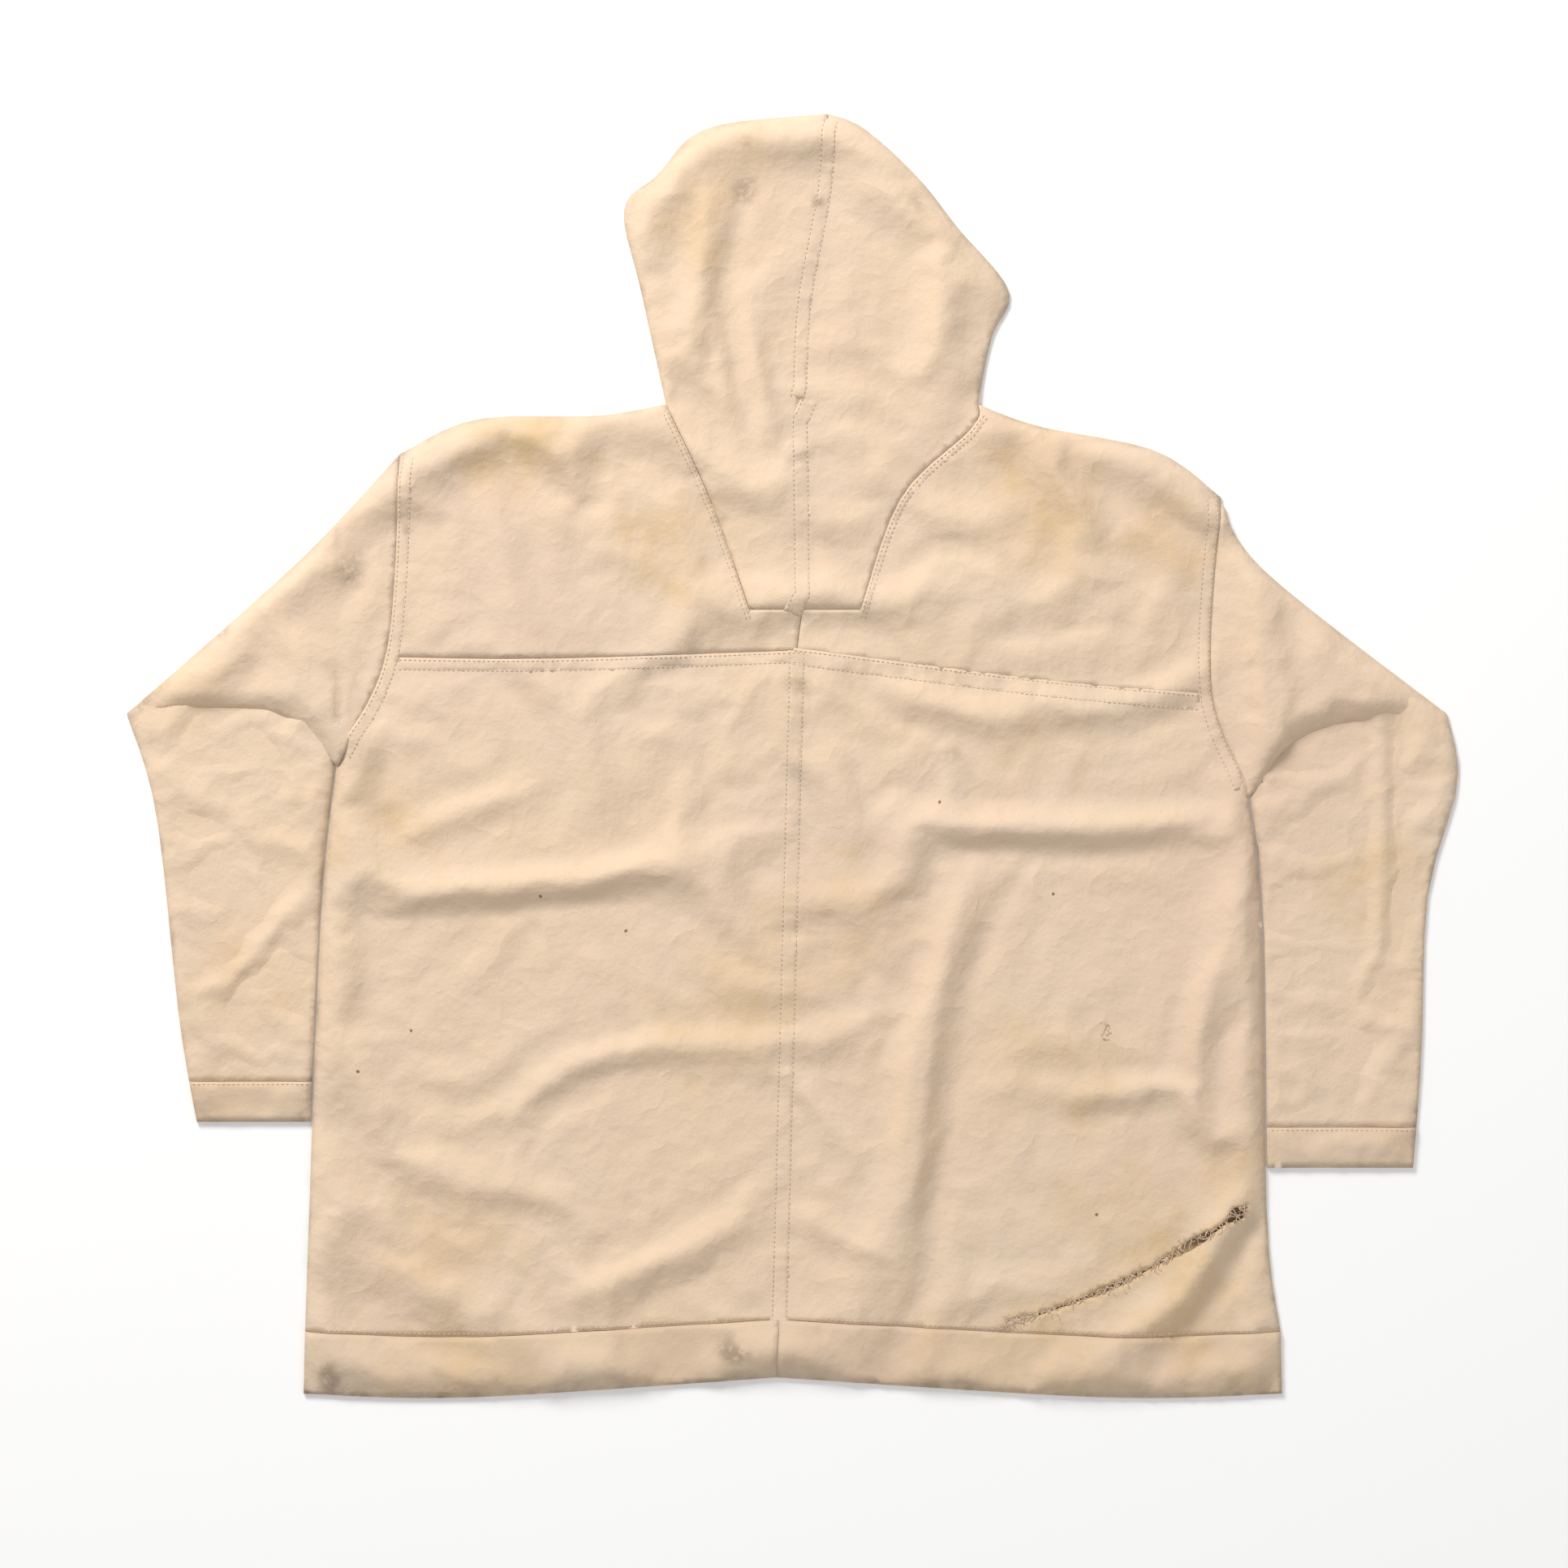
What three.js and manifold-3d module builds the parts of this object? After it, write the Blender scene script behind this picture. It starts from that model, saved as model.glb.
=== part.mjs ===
// Hooded canvas pullover smock, laid flat on its front so that its back is up.
// Millimetres, +Z up, +X to the right of someone looking down with the hood away from them,
// +Y from the neck towards the crown of the hood.
//
// Each half of the smock is drawn in its own flat frame: "out" from the middle, "up" towards
// the hood, with 0,0 in the middle of the neck line. The halves differ a little, because the
// cloth was dropped by hand. The last step moves everything so that the middle of the
// underside is the origin.

import * as THREE from 'three';
import { mergeVertices } from 'three/addons/utils/BufferGeometryUtils.js';
import Module from 'manifold-3d';

const wasm = await Module();
wasm.setup();

// ---- Cloth, seams and heights ----
const LAYER = 1.5;            // one layer of heavy canvas with its nap
const GAP = 0.3;              // clearance between two neighbouring pieces
const BODY_RISE = 11;         // floor to the top of the laid body
const SLEEVE_RISE = 14;       // floor to the top of the upper sleeve, over the tucked forearm
const SEAM = 10;              // width of a felled seam
const FELL_RISE = 0.5;        // how far a felled seam stands above its panel
const STITCH = 1.6;           // width of a single row of topstitching
const HEM_EXTRA = 0.5;        // extra thickness where the bottom hem is turned up

// ---- Body ----
const BODY_LENGTH = 686;      // neck line to the stitching of the hem
const HALF_HEM = 361;         // centre to the side seam at the hem
const HEM_DEPTH = 46;         // turned-up hem at the bottom
const YOKE_DROP = 182;        // neck line to the yoke seam at the centre back
const TONGUE_DROP = 152;      // neck line to the foot of the hood's tongue
const FRONT_NECK_DROP = 60;   // depth of the front neckline, which isn't seen

// ---- Hood ----
const HOOD_HEIGHT = 215;      // neck line to the crown
const FACE_SHARE = 0.58;      // size of the face opening as a share of the hood's outline

// ---- Sleeves ----
const FOLD_LINE = 338;        // centre to the line each sleeve folds over the back on
const TUCK_CLEAR_DEG = 2;     // between the tucked cloth at the elbow and the sleeve's turned edge
const EDGE_FOLD = 5;          // width of the turned edge of a flattened sleeve
const ELBOW_SHARE = 0.62;     // share of the outer edge that has a turned edge
const CUFF_DEPTH = 30;        // hem at the wrist
const CUFF_RISE = 13.5;       // floor to the top of the rolled cuff
const CUFF_LAYER = 2;         // doubled cloth of the cuff

// How far each point of the centre seam lies to the right of the middle.
const DRIFT = { crown: 26, neck: 5, tongue: 7, yoke: 3, hem: -10, bottom: -12 };

// The two halves: [out, down from the neck line], and how each seam bows. A bow is
// [share of the way along, distance to the left of the straight line].
const HALVES = [
  {
    name: 'left',
    side: -1,
    neck: 94,
    armTop: [291, 37],
    armpit: [336, 256],
    elbow: [493, 229],
    cuff: [441, 531],
    hoodReach: 125,
    hoodProfile: [[0.9, 0.39], [1, 0.67], [0.8, 0.79], [0.51, 0.95]],
    tongueFoot: 32,
    tongueBow: [[0.5, -4]],
    yokeEnd: 187,
    outerBow: [[0.4, -6]],
    sideBow: [[0.3, 6]],
    forearmBow: [[0.25, -9], [0.75, 0]],
  },
  {
    name: 'right',
    side: 1,
    neck: 137,
    armTop: [317, 69],
    armpit: [336, 280],
    elbow: [484, 229],
    cuff: [459, 565],
    hoodReach: 160,
    hoodProfile: [[0.92, 0.23], [1, 0.39], [0.76, 0.61], [0.58, 0.78], [0.33, 0.95]],
    tongueFoot: 50,
    tongueBow: [[0.1, 5], [0.5, -15]],
    yokeEnd: 216,
    outerBow: [[0.25, -17]],
    sideBow: [[0.25, 5], [0.8, -5]],
    forearmBow: [[0.15, 12], [0.4, -4], [0.75, 0]],
  },
];

// Bows shared by both halves.
const SHOULDER_BOW = [[0.25, 1], [0.7, 15]];
const ARMHOLE_BOW = [[0.65, -20]];
const CREASE_BOW = [[0.6, -20]];
const YOKE_BOW = [[0.6, -3]];
const HEM_BOW = [[0.35, 7]];
const HOOD_SEAM_BOW = [[0.25, 3], [0.65, -4]];
const STEPS = 14;             // straight pieces used to draw one bowed seam

const CLOTH_COLOUR = 0xe7ccb0;
const SEAM_COLOUR = 0xdabd9e;
const UNDER_COLOUR = 0xcdb291;

// ---- Flat drawing ----

function bowed(a, b, bows) {
  const length = Math.hypot(b[0] - a[0], b[1] - a[1]);
  const along = [(b[0] - a[0]) / length, (b[1] - a[1]) / length];
  const points = [new THREE.Vector2(a[0], a[1])];
  for (const [share, bow] of bows) {
    const x = a[0] + along[0] * length * share - along[1] * bow;
    const y = a[1] + along[1] * length * share + along[0] * bow;
    points.push(new THREE.Vector2(x, y));
  }
  points.push(new THREE.Vector2(b[0], b[1]));
  return new THREE.SplineCurve(points).getPoints(STEPS).map((p) => [p.x, p.y]);
}

// Splits a path where it first crosses a value of x (axis 0) or y (axis 1).
function cutAt(path, axis, value) {
  for (let i = 1; i < path.length; i += 1) {
    const before = path[i - 1];
    const after = path[i];
    if ((before[axis] - value) * (after[axis] - value) <= 0) {
      const t = (value - before[axis]) / (after[axis] - before[axis] || 1);
      const x = before[0] + (after[0] - before[0]) * t;
      const y = before[1] + (after[1] - before[1]) * t;
      return [[...path.slice(0, i), [x, y]], [[x, y], ...path.slice(i)]];
    }
  }
  return [path, [path[path.length - 1]]];
}

// The part of a path between two shares of its length.
function partOf(path, from, to) {
  const curve = new THREE.SplineCurve(path.map(([x, y]) => new THREE.Vector2(x, y)));
  const points = [];
  for (let i = 0; i <= STEPS; i += 1) {
    const p = curve.getPointAt(from + (to - from) * (i / STEPS));
    points.push([p.x, p.y]);
  }
  return points;
}

// A path moved sideways, positive to the left of its direction.
function moved(path, distance) {
  return path.map((point, i) => {
    const before = path[Math.max(i - 1, 0)];
    const after = path[Math.min(i + 1, path.length - 1)];
    const length = Math.hypot(after[0] - before[0], after[1] - before[1]);
    const x = point[0] - ((after[1] - before[1]) / length) * distance;
    const y = point[1] + ((after[0] - before[0]) / length) * distance;
    return [x, y];
  });
}

// The strip between two sideways distances of one path.
function ribbon(path, near, far) {
  return [...moved(path, near), ...moved(path, far).reverse()];
}

// Joins paths into one closed outline without doubled points.
function outlineOf(...paths) {
  const points = [];
  for (const point of paths.flat()) {
    const last = points[points.length - 1];
    if (!last || Math.hypot(point[0] - last[0], point[1] - last[1]) > 0.5) {
      points.push(point);
    }
  }
  const first = points[0];
  const end = points[points.length - 1];
  if (Math.hypot(first[0] - end[0], first[1] - end[1]) < 0.5) {
    points.pop();
  }
  return points;
}

// Pulls a closed outline in by the same distance everywhere.
function inset(outline, distance) {
  const area = THREE.ShapeUtils.area(outline.map(([x, y]) => new THREE.Vector2(x, y)));
  const turn = Math.sign(area);
  const count = outline.length;
  return outline.map((point, i) => {
    const before = outline[(i + count - 1) % count];
    const after = outline[(i + 1) % count];
    const lengthIn = Math.hypot(point[0] - before[0], point[1] - before[1]);
    const lengthOut = Math.hypot(after[0] - point[0], after[1] - point[1]);
    const inX = -(point[1] - before[1]) / lengthIn;
    const inY = (point[0] - before[0]) / lengthIn;
    const outX = -(after[1] - point[1]) / lengthOut;
    const outY = (after[0] - point[0]) / lengthOut;
    const scale = Math.min(1 / Math.max(1 + inX * outX + inY * outY, 0.2), 3);
    const x = point[0] + (inX + outX) * scale * distance * turn;
    const y = point[1] + (inY + outY) * scale * distance * turn;
    return [x, y];
  });
}

// ---- Solids ----

const group = new THREE.Group();
group.name = 'hooded_smock';

function slab(outline, side, bottom, top) {
  const shape = new THREE.Shape(outline.map(([x, y]) => new THREE.Vector2(side * x, y)));
  const solid = new THREE.ExtrudeGeometry(shape, { depth: top - bottom, bevelEnabled: false });
  solid.translate(0, 0, bottom);
  solid.deleteAttribute('normal');
  solid.deleteAttribute('uv');
  return mergeVertices(solid, 1e-4);
}

function add(name, solid, colour) {
  const drawn = solid.toNonIndexed();
  drawn.computeVertexNormals();
  const look = new THREE.MeshStandardMaterial({ color: colour, roughness: 0.9 });
  const mesh = new THREE.Mesh(drawn, look);
  mesh.name = name;
  group.add(mesh);
}

function panel(name, outline, side, bottom, top, colour = CLOTH_COLOUR) {
  add(name, slab(inset(outline, GAP / 2), side, bottom, top), colour);
}

function minus(solid, hole) {
  const [a, b] = [solid, hole].map((g) => new wasm.Manifold(new wasm.Mesh({
    numProp: 3,
    vertProperties: new Float32Array(g.attributes.position.array),
    triVerts: new Uint32Array(g.index.array),
  })));
  const cut = a.subtract(b).getMesh();
  const left = new THREE.BufferGeometry();
  left.setAttribute('position', new THREE.BufferAttribute(cut.vertProperties, 3));
  left.setIndex(new THREE.BufferAttribute(cut.triVerts, 1));
  return left;
}

// ---- Levels ----
const backBottom = BODY_RISE - LAYER;
const wallBottom = LAYER + GAP;
const wallTop = backBottom - GAP;
const fellBottom = BODY_RISE + GAP / 3;
const fellTop = fellBottom + FELL_RISE;
const sleeveBottom = SLEEVE_RISE - LAYER;
const forearmBottom = LAYER + GAP;
const forearmTop = sleeveBottom - GAP;

for (const half of HALVES) {
  const { name, side } = half;
  const at = (drift, y) => [side * drift, y];

  // Corners.
  const notch = [half.neck, 0];
  const armTop = [half.armTop[0], -half.armTop[1]];
  const armpit = [half.armpit[0], -half.armpit[1]];
  const elbow = [half.elbow[0], -half.elbow[1]];
  const cuff = [half.cuff[0], -half.cuff[1]];
  const hemCorner = [HALF_HEM, -BODY_LENGTH];
  const bottomCorner = [HALF_HEM + 1, -BODY_LENGTH - HEM_DEPTH];
  const hemCentre = at(DRIFT.hem, -BODY_LENGTH + 9);
  const bottomCentre = at(DRIFT.bottom, -BODY_LENGTH - HEM_DEPTH + 12);
  const yokeCentre = at(DRIFT.yoke, -YOKE_DROP);
  const tongueCentre = at(DRIFT.tongue, -TONGUE_DROP);
  const neckCentre = at(DRIFT.neck, 0);
  const crown = at(DRIFT.crown, HOOD_HEIGHT);
  const tongueFoot = [half.tongueFoot, -TONGUE_DROP];

  // Seams.
  const shoulder = bowed(notch, armTop, SHOULDER_BOW);
  const armhole = bowed(armTop, armpit, ARMHOLE_BOW);
  const [yokeHole, backHole] = cutAt(armhole, 1, -half.yokeEnd);
  const yokeEnd = backHole[0];
  const yokeSeam = bowed(yokeCentre, yokeEnd, YOKE_BOW);
  const tongueSeam = bowed(notch, tongueFoot, half.tongueBow);
  const sideSeam = bowed(armpit, hemCorner, half.sideBow);
  const hemSeam = bowed(hemCorner, hemCentre, HEM_BOW);
  const hemEdge = bowed(bottomCorner, bottomCentre, HEM_BOW);
  const outerEdge = bowed(armTop, elbow, half.outerBow);
  const [headEdge, sleeveEdge] = cutAt(outerEdge, 0, FOLD_LINE);
  const crease = bowed(elbow, armpit, CREASE_BOW);
  const [sleeveCrease, headCrease] = cutAt(crease, 0, FOLD_LINE);
  const hoodPoints = half.hoodProfile.map(([out, up]) => [out * half.hoodReach, up * HOOD_HEIGHT]);
  const hoodCurve = [notch, ...hoodPoints, crown].map(([x, y]) => new THREE.Vector2(x, y));
  const hoodEdge = new THREE.SplineCurve(hoodCurve).getPoints(2 * STEPS).map((p) => [p.x, p.y]);
  const bows = HOOD_SEAM_BOW.map(([share, bow]) => [share, side * bow]);
  const hoodSeam = bowed(crown, neckCentre, bows);

  // Back of the body.
  const backOutline = outlineOf(yokeSeam, backHole, sideSeam, hemSeam);
  panel(`back_${name}`, backOutline, side, backBottom, BODY_RISE);
  const yokeOutline = outlineOf(tongueSeam, [tongueCentre], yokeSeam, [...yokeHole].reverse(),
    [...shoulder].reverse());
  panel(`yoke_${name}`, yokeOutline, side, backBottom, BODY_RISE);
  const tongueOutline = outlineOf(tongueSeam, [tongueCentre, neckCentre]);
  panel(`hood_tongue_${name}`, tongueOutline, side, backBottom, BODY_RISE);
  const hemOutline = outlineOf(hemSeam, [...hemEdge].reverse());
  panel(`hem_back_${name}`, hemOutline, side, backBottom, BODY_RISE + HEM_EXTRA, SEAM_COLOUR);

  // Front of the body, face down on the floor.
  const neckline = bowed(at(DRIFT.neck, -FRONT_NECK_DROP), notch, [[0.5, -FRONT_NECK_DROP / 4]]);
  const frontOutline = outlineOf(neckline, shoulder, armhole, sideSeam, hemSeam);
  panel(`front_${name}`, frontOutline, side, 0, LAYER, UNDER_COLOUR);
  panel(`hem_front_${name}`, hemOutline, side, 0, LAYER, UNDER_COLOUR);

  // Seams that close the body round its edge.
  const sideRun = [...sideSeam, ...moved([hemCorner, bottomCorner], 0)];
  const sideStrip = ribbon(outlineOf(sideRun), -GAP, -GAP - SEAM);
  panel(`side_seam_${name}`, sideStrip, side, wallBottom, wallTop, SEAM_COLOUR);
  const shoulderStrip = ribbon(partOf(shoulder, 0.02, 0.96), -GAP, -GAP - SEAM);
  panel(`shoulder_seam_${name}`, shoulderStrip, side, wallBottom, wallTop, SEAM_COLOUR);

  // Felled seams that show on the back.
  const yokeFell = ribbon(partOf(yokeSeam, 0.04, 0.93), -GAP, -GAP - SEAM);
  panel(`yoke_felling_${name}`, yokeFell, side, fellBottom, fellTop, SEAM_COLOUR);
  const armholeFell = ribbon(partOf(armhole, 0.03, 0.97), -GAP, -GAP - SEAM);
  panel(`armhole_felling_${name}`, armholeFell, side, fellBottom, fellTop, SEAM_COLOUR);
  const tongueFell = ribbon(partOf(tongueSeam, 0.06, 0.99), GAP, GAP + SEAM * 0.6);
  panel(`tongue_felling_${name}`, tongueFell, side, fellBottom, fellTop, SEAM_COLOUR);
  const hemRow = ribbon(partOf(hemSeam, 0.01, 0.96), -STITCH, -2 * STITCH);
  panel(`hem_stitching_${name}`, hemRow, side, fellBottom, fellTop, SEAM_COLOUR);

  // Head of the sleeve, from the armhole to the fold line. It stays with the body.
  const headOutline = outlineOf(armhole, headCrease.slice().reverse(), [...headEdge].reverse());
  panel(`sleeve_head_top_${name}`, headOutline, side, backBottom, BODY_RISE);
  panel(`sleeve_head_under_${name}`, headOutline, side, 0, LAYER, UNDER_COLOUR);

  // Upper sleeve, from the fold line to the elbow. The forearm goes in under its crease.
  const sleeveOutline = outlineOf(sleeveEdge, sleeveCrease);
  panel(`sleeve_top_${name}`, sleeveOutline, side, sleeveBottom, SLEEVE_RISE);
  panel(`sleeve_under_${name}`, sleeveOutline, side, 0, LAYER, UNDER_COLOUR);
  const sleeveFold = ribbon(partOf(sleeveEdge, 0.06, ELBOW_SHARE), -GAP, -GAP - EDGE_FOLD);
  panel(`sleeve_edge_${name}`, sleeveFold, side, forearmBottom, forearmTop, SEAM_COLOUR);

  // Forearm: its inner edge lies just outside the side seam and the fold line.
  const forearmOuter = bowed(elbow, cuff, half.forearmBow);
  const [, belowArmpit] = cutAt(sideSeam, 1, armpit[1] - 1);
  const [alongBody] = cutAt(belowArmpit, 1, cuff[1]);
  const clear = FOLD_LINE + 2 * GAP;
  const forearmInner = moved(alongBody, 3 * GAP).map(([x, y]) => [Math.max(x, clear), y]);
  const [outerUpper, outerCuff] = cutAt(forearmOuter, 1, cuff[1] + CUFF_DEPTH);
  const [innerUpper, innerCuff] = cutAt(forearmInner, 1, cuff[1] + CUFF_DEPTH);
  const reach = elbow[0] - clear;
  const creaseAngle = Math.asin((armpit[1] - elbow[1]) / reach);
  const edgeAngles = sleeveFold.map(([x, y]) => Math.atan2(y - elbow[1], elbow[0] - x));
  const tuckAngle = Math.min(...edgeAngles) - THREE.MathUtils.degToRad(TUCK_CLEAR_DEG);
  const tuck = [];
  for (let i = 0; i <= 6; i += 1) {
    const angle = creaseAngle + (tuckAngle - creaseAngle) * (i / 6);
    tuck.push([elbow[0] - reach * Math.cos(angle), elbow[1] + reach * Math.sin(angle)]);
  }
  const forearmOutline = outlineOf(outerUpper, [...innerUpper].reverse(), tuck);
  panel(`forearm_top_${name}`, forearmOutline, side, forearmTop - LAYER, forearmTop);
  const underTop = forearmBottom + LAYER;
  panel(`forearm_under_${name}`, forearmOutline, side, forearmBottom, underTop, UNDER_COLOUR);
  const seamBottom = underTop + GAP;
  const seamTop = forearmTop - LAYER - GAP;
  const outerFold = ribbon(partOf(outerUpper, 0.05, 0.99), -GAP, -GAP - EDGE_FOLD);
  panel(`forearm_edge_${name}`, outerFold, side, seamBottom, seamTop, SEAM_COLOUR);
  const innerFold = ribbon(partOf(innerUpper, 0.03, 0.99), GAP, GAP + SEAM);
  panel(`forearm_seam_${name}`, innerFold, side, seamBottom, seamTop, SEAM_COLOUR);

  // Cuff: a flattened ring of doubled cloth.
  const cuffOutline = outlineOf(outerCuff, [...innerCuff].reverse());
  const ring = slab(inset(cuffOutline, GAP / 2), side, 0, CUFF_RISE);
  const wristOuter = [outerCuff[0], outerCuff[outerCuff.length - 1]];
  const wristInner = [innerCuff[0], innerCuff[innerCuff.length - 1]];
  const wrist = [
    [wristOuter[0][0] - 2 * EDGE_FOLD, wristOuter[0][1] + CUFF_DEPTH],
    [wristOuter[1][0] - 2 * EDGE_FOLD, wristOuter[1][1] - CUFF_DEPTH],
    [wristInner[1][0] + 2 * EDGE_FOLD, wristInner[1][1] - CUFF_DEPTH],
    [wristInner[0][0] + 2 * EDGE_FOLD, wristInner[0][1] + CUFF_DEPTH],
  ];
  const wristHole = slab(wrist, side, CUFF_LAYER, CUFF_RISE - CUFF_LAYER);
  add(`cuff_${name}`, minus(ring, wristHole), SEAM_COLOUR);

  // Hood, laid out flat beyond the neck with its face opening down.
  const hoodOutline = outlineOf(hoodEdge, hoodSeam);
  panel(`hood_${name}`, hoodOutline, side, backBottom, BODY_RISE);
  const hoodFold = ribbon(partOf(hoodEdge, 0.02, 0.97), GAP, GAP + EDGE_FOLD);
  panel(`hood_edge_${name}`, hoodFold, side, wallBottom, wallTop, SEAM_COLOUR);
  const middle = [side * DRIFT.neck, HOOD_HEIGHT * 0.46];
  const towards = (share) => hoodEdge.map(([x, y]) => [
    middle[0] + (x - middle[0]) * share,
    middle[1] + (y - middle[1]) * share,
  ]);
  const hemShare = FACE_SHARE + SEAM / HOOD_HEIGHT;
  const hoodUnder = outlineOf(hoodEdge, towards(hemShare).reverse());
  panel(`hood_under_${name}`, hoodUnder, side, 0, LAYER, UNDER_COLOUR);
  const faceHem = outlineOf(towards(hemShare), towards(FACE_SHARE).reverse());
  panel(`face_hem_${name}`, faceHem, side, 0, LAYER, SEAM_COLOUR);
}

// Felled seams down the middle, which both halves share.
const backSeam = [[DRIFT.yoke, -YOKE_DROP], [DRIFT.hem, -BODY_LENGTH + 9]];
const backFell = ribbon(partOf(backSeam, 0.025, 0.99), SEAM / 2, -SEAM / 2);
panel('centre_back_felling', backFell, 1, fellBottom, fellTop, SEAM_COLOUR);
const hoodLine = bowed([DRIFT.crown, HOOD_HEIGHT], [DRIFT.neck, 0], HOOD_SEAM_BOW);
const hoodFell = ribbon(partOf(hoodLine, 0.03, 0.97), SEAM / 2, -SEAM / 2);
panel('hood_centre_felling', hoodFell, 1, fellBottom, fellTop, SEAM_COLOUR);
const tongueLine = [[DRIFT.neck, 0], [DRIFT.tongue, -TONGUE_DROP]];
const tongueFell = ribbon(partOf(tongueLine, 0.04, 0.96), SEAM / 2, -SEAM / 2);
panel('tongue_centre_felling', tongueFell, 1, fellBottom, fellTop, SEAM_COLOUR);

// Middle of the underside to the origin.
const box = new THREE.Box3().setFromObject(group);
const centre = box.getCenter(new THREE.Vector3());
for (const mesh of group.children) {
  mesh.geometry.translate(-centre.x, -centre.y, -box.min.z);
}

export default group;
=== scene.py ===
# %% [markdown]
# # A hooded canvas smock, laid on its front
# A working smock of heavy cotton canvas lies on a pale surface with its back up: hood away from
# us, sleeves bent at the elbow, a long tear at the lower right. This lesson cuts each panel as
# flat cloth, works out how the cloth lies, drapes every panel, seam and stitch over that one
# surface, and then ages the canvas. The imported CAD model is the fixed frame, and gives each
# panel its outline.

# %% Load the fixed frame
import math
import random

import bmesh
import bpy
import numpy as np
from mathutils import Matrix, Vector
from mathutils.bvhtree import BVHTree
from mathutils.geometry import delaunay_2d_cdt


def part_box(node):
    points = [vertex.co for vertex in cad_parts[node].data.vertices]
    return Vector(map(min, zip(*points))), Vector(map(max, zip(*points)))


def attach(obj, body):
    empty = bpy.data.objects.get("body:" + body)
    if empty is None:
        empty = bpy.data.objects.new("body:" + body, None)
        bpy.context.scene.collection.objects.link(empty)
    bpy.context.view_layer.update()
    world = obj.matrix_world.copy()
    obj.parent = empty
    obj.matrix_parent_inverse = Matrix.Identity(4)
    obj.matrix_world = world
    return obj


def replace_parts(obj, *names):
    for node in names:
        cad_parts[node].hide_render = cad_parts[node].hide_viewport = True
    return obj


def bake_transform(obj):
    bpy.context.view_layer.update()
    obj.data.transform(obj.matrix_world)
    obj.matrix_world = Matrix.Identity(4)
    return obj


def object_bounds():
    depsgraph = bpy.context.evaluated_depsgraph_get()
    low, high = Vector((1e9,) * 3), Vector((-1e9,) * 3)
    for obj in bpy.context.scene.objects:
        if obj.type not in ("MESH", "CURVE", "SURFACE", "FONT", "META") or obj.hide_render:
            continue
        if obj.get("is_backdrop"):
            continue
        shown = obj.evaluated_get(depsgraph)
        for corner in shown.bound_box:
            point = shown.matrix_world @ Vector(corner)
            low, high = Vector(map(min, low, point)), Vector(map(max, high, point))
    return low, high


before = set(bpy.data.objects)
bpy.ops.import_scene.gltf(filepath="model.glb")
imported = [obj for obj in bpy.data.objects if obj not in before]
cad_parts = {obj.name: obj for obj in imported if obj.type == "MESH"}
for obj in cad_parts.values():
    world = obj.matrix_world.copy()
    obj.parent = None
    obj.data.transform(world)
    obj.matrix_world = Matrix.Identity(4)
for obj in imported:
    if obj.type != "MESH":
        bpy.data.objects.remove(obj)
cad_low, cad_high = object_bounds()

MM = 0.001
scene = bpy.context.scene
smock_width = cad_high.x - cad_low.x
smock_length = cad_high.y - cad_low.y
print("frame", len(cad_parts), "nodes", round(smock_width, 3), "by", round(smock_length, 3))

# %% [markdown]
# A garment for a catalogue is shot from straight above with a long lens, so that neither end
# looks nearer. A real tripod stands a few metres up; here the camera does, and its lens is
# worked out from how much of the table it has to take in.

# %% Camera above the smock
CAMERA_HEIGHT = 5.0
VIEW_WIDTH = smock_width * 1.178
VIEW_SHIFT = (-6.3 * MM, -20.8 * MM)

camera_data = bpy.data.cameras.new("overhead")
camera_data.lens = camera_data.sensor_width * CAMERA_HEIGHT / VIEW_WIDTH
camera_data.clip_end = 50
camera = bpy.data.objects.new("overhead", camera_data)
camera.location = (VIEW_SHIFT[0], VIEW_SHIFT[1], CAMERA_HEIGHT)
scene.collection.objects.link(camera)
scene.camera = camera
print("lens", round(camera_data.lens), "mm")

# %% [markdown]
# Folds only show when light rakes across them. One big soft lamp stands beyond the hood, a
# little to the left and low, and the pale surroundings fill the shadows.

# %% Table, lamp and surroundings
TABLE_SIZE = 9.0
KEY_PLACE = (-1.5, 2.6, 2.3)
KEY_SIZE = 1.5
KEY_POWER = 122
FILL_PLACE = (1.6, -1.2, 2.6)
FILL_POWER = 16
SURROUND = 0.38
TABLE_GLOW = 0.14
TABLE_DROP = 0.3 * MM


def new_object(name, mesh):
    made = bpy.data.objects.new(name, mesh)
    scene.collection.objects.link(made)
    return made


def area_lamp(name, place, size, power, colour):
    data = bpy.data.lights.new(name, "AREA")
    data.size = size
    data.energy = power
    data.color = colour
    lamp = bpy.data.objects.new(name, data)
    lamp.location = place
    lamp.rotation_euler = (-Vector(place)).to_track_quat("-Z", "Y").to_euler()
    scene.collection.objects.link(lamp)


area_lamp("key_lamp", KEY_PLACE, KEY_SIZE, KEY_POWER, (1, 0.985, 0.965))
area_lamp("fill_lamp", FILL_PLACE, 2.5, FILL_POWER, (0.95, 0.97, 1))
world = bpy.data.worlds.new("surround")
world.use_nodes = True
world.node_tree.nodes["Background"].inputs["Color"].default_value = (1, 1, 1, 1)
world.node_tree.nodes["Background"].inputs["Strength"].default_value = SURROUND
scene.world = world
scene.view_settings.view_transform = "Standard"

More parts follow.
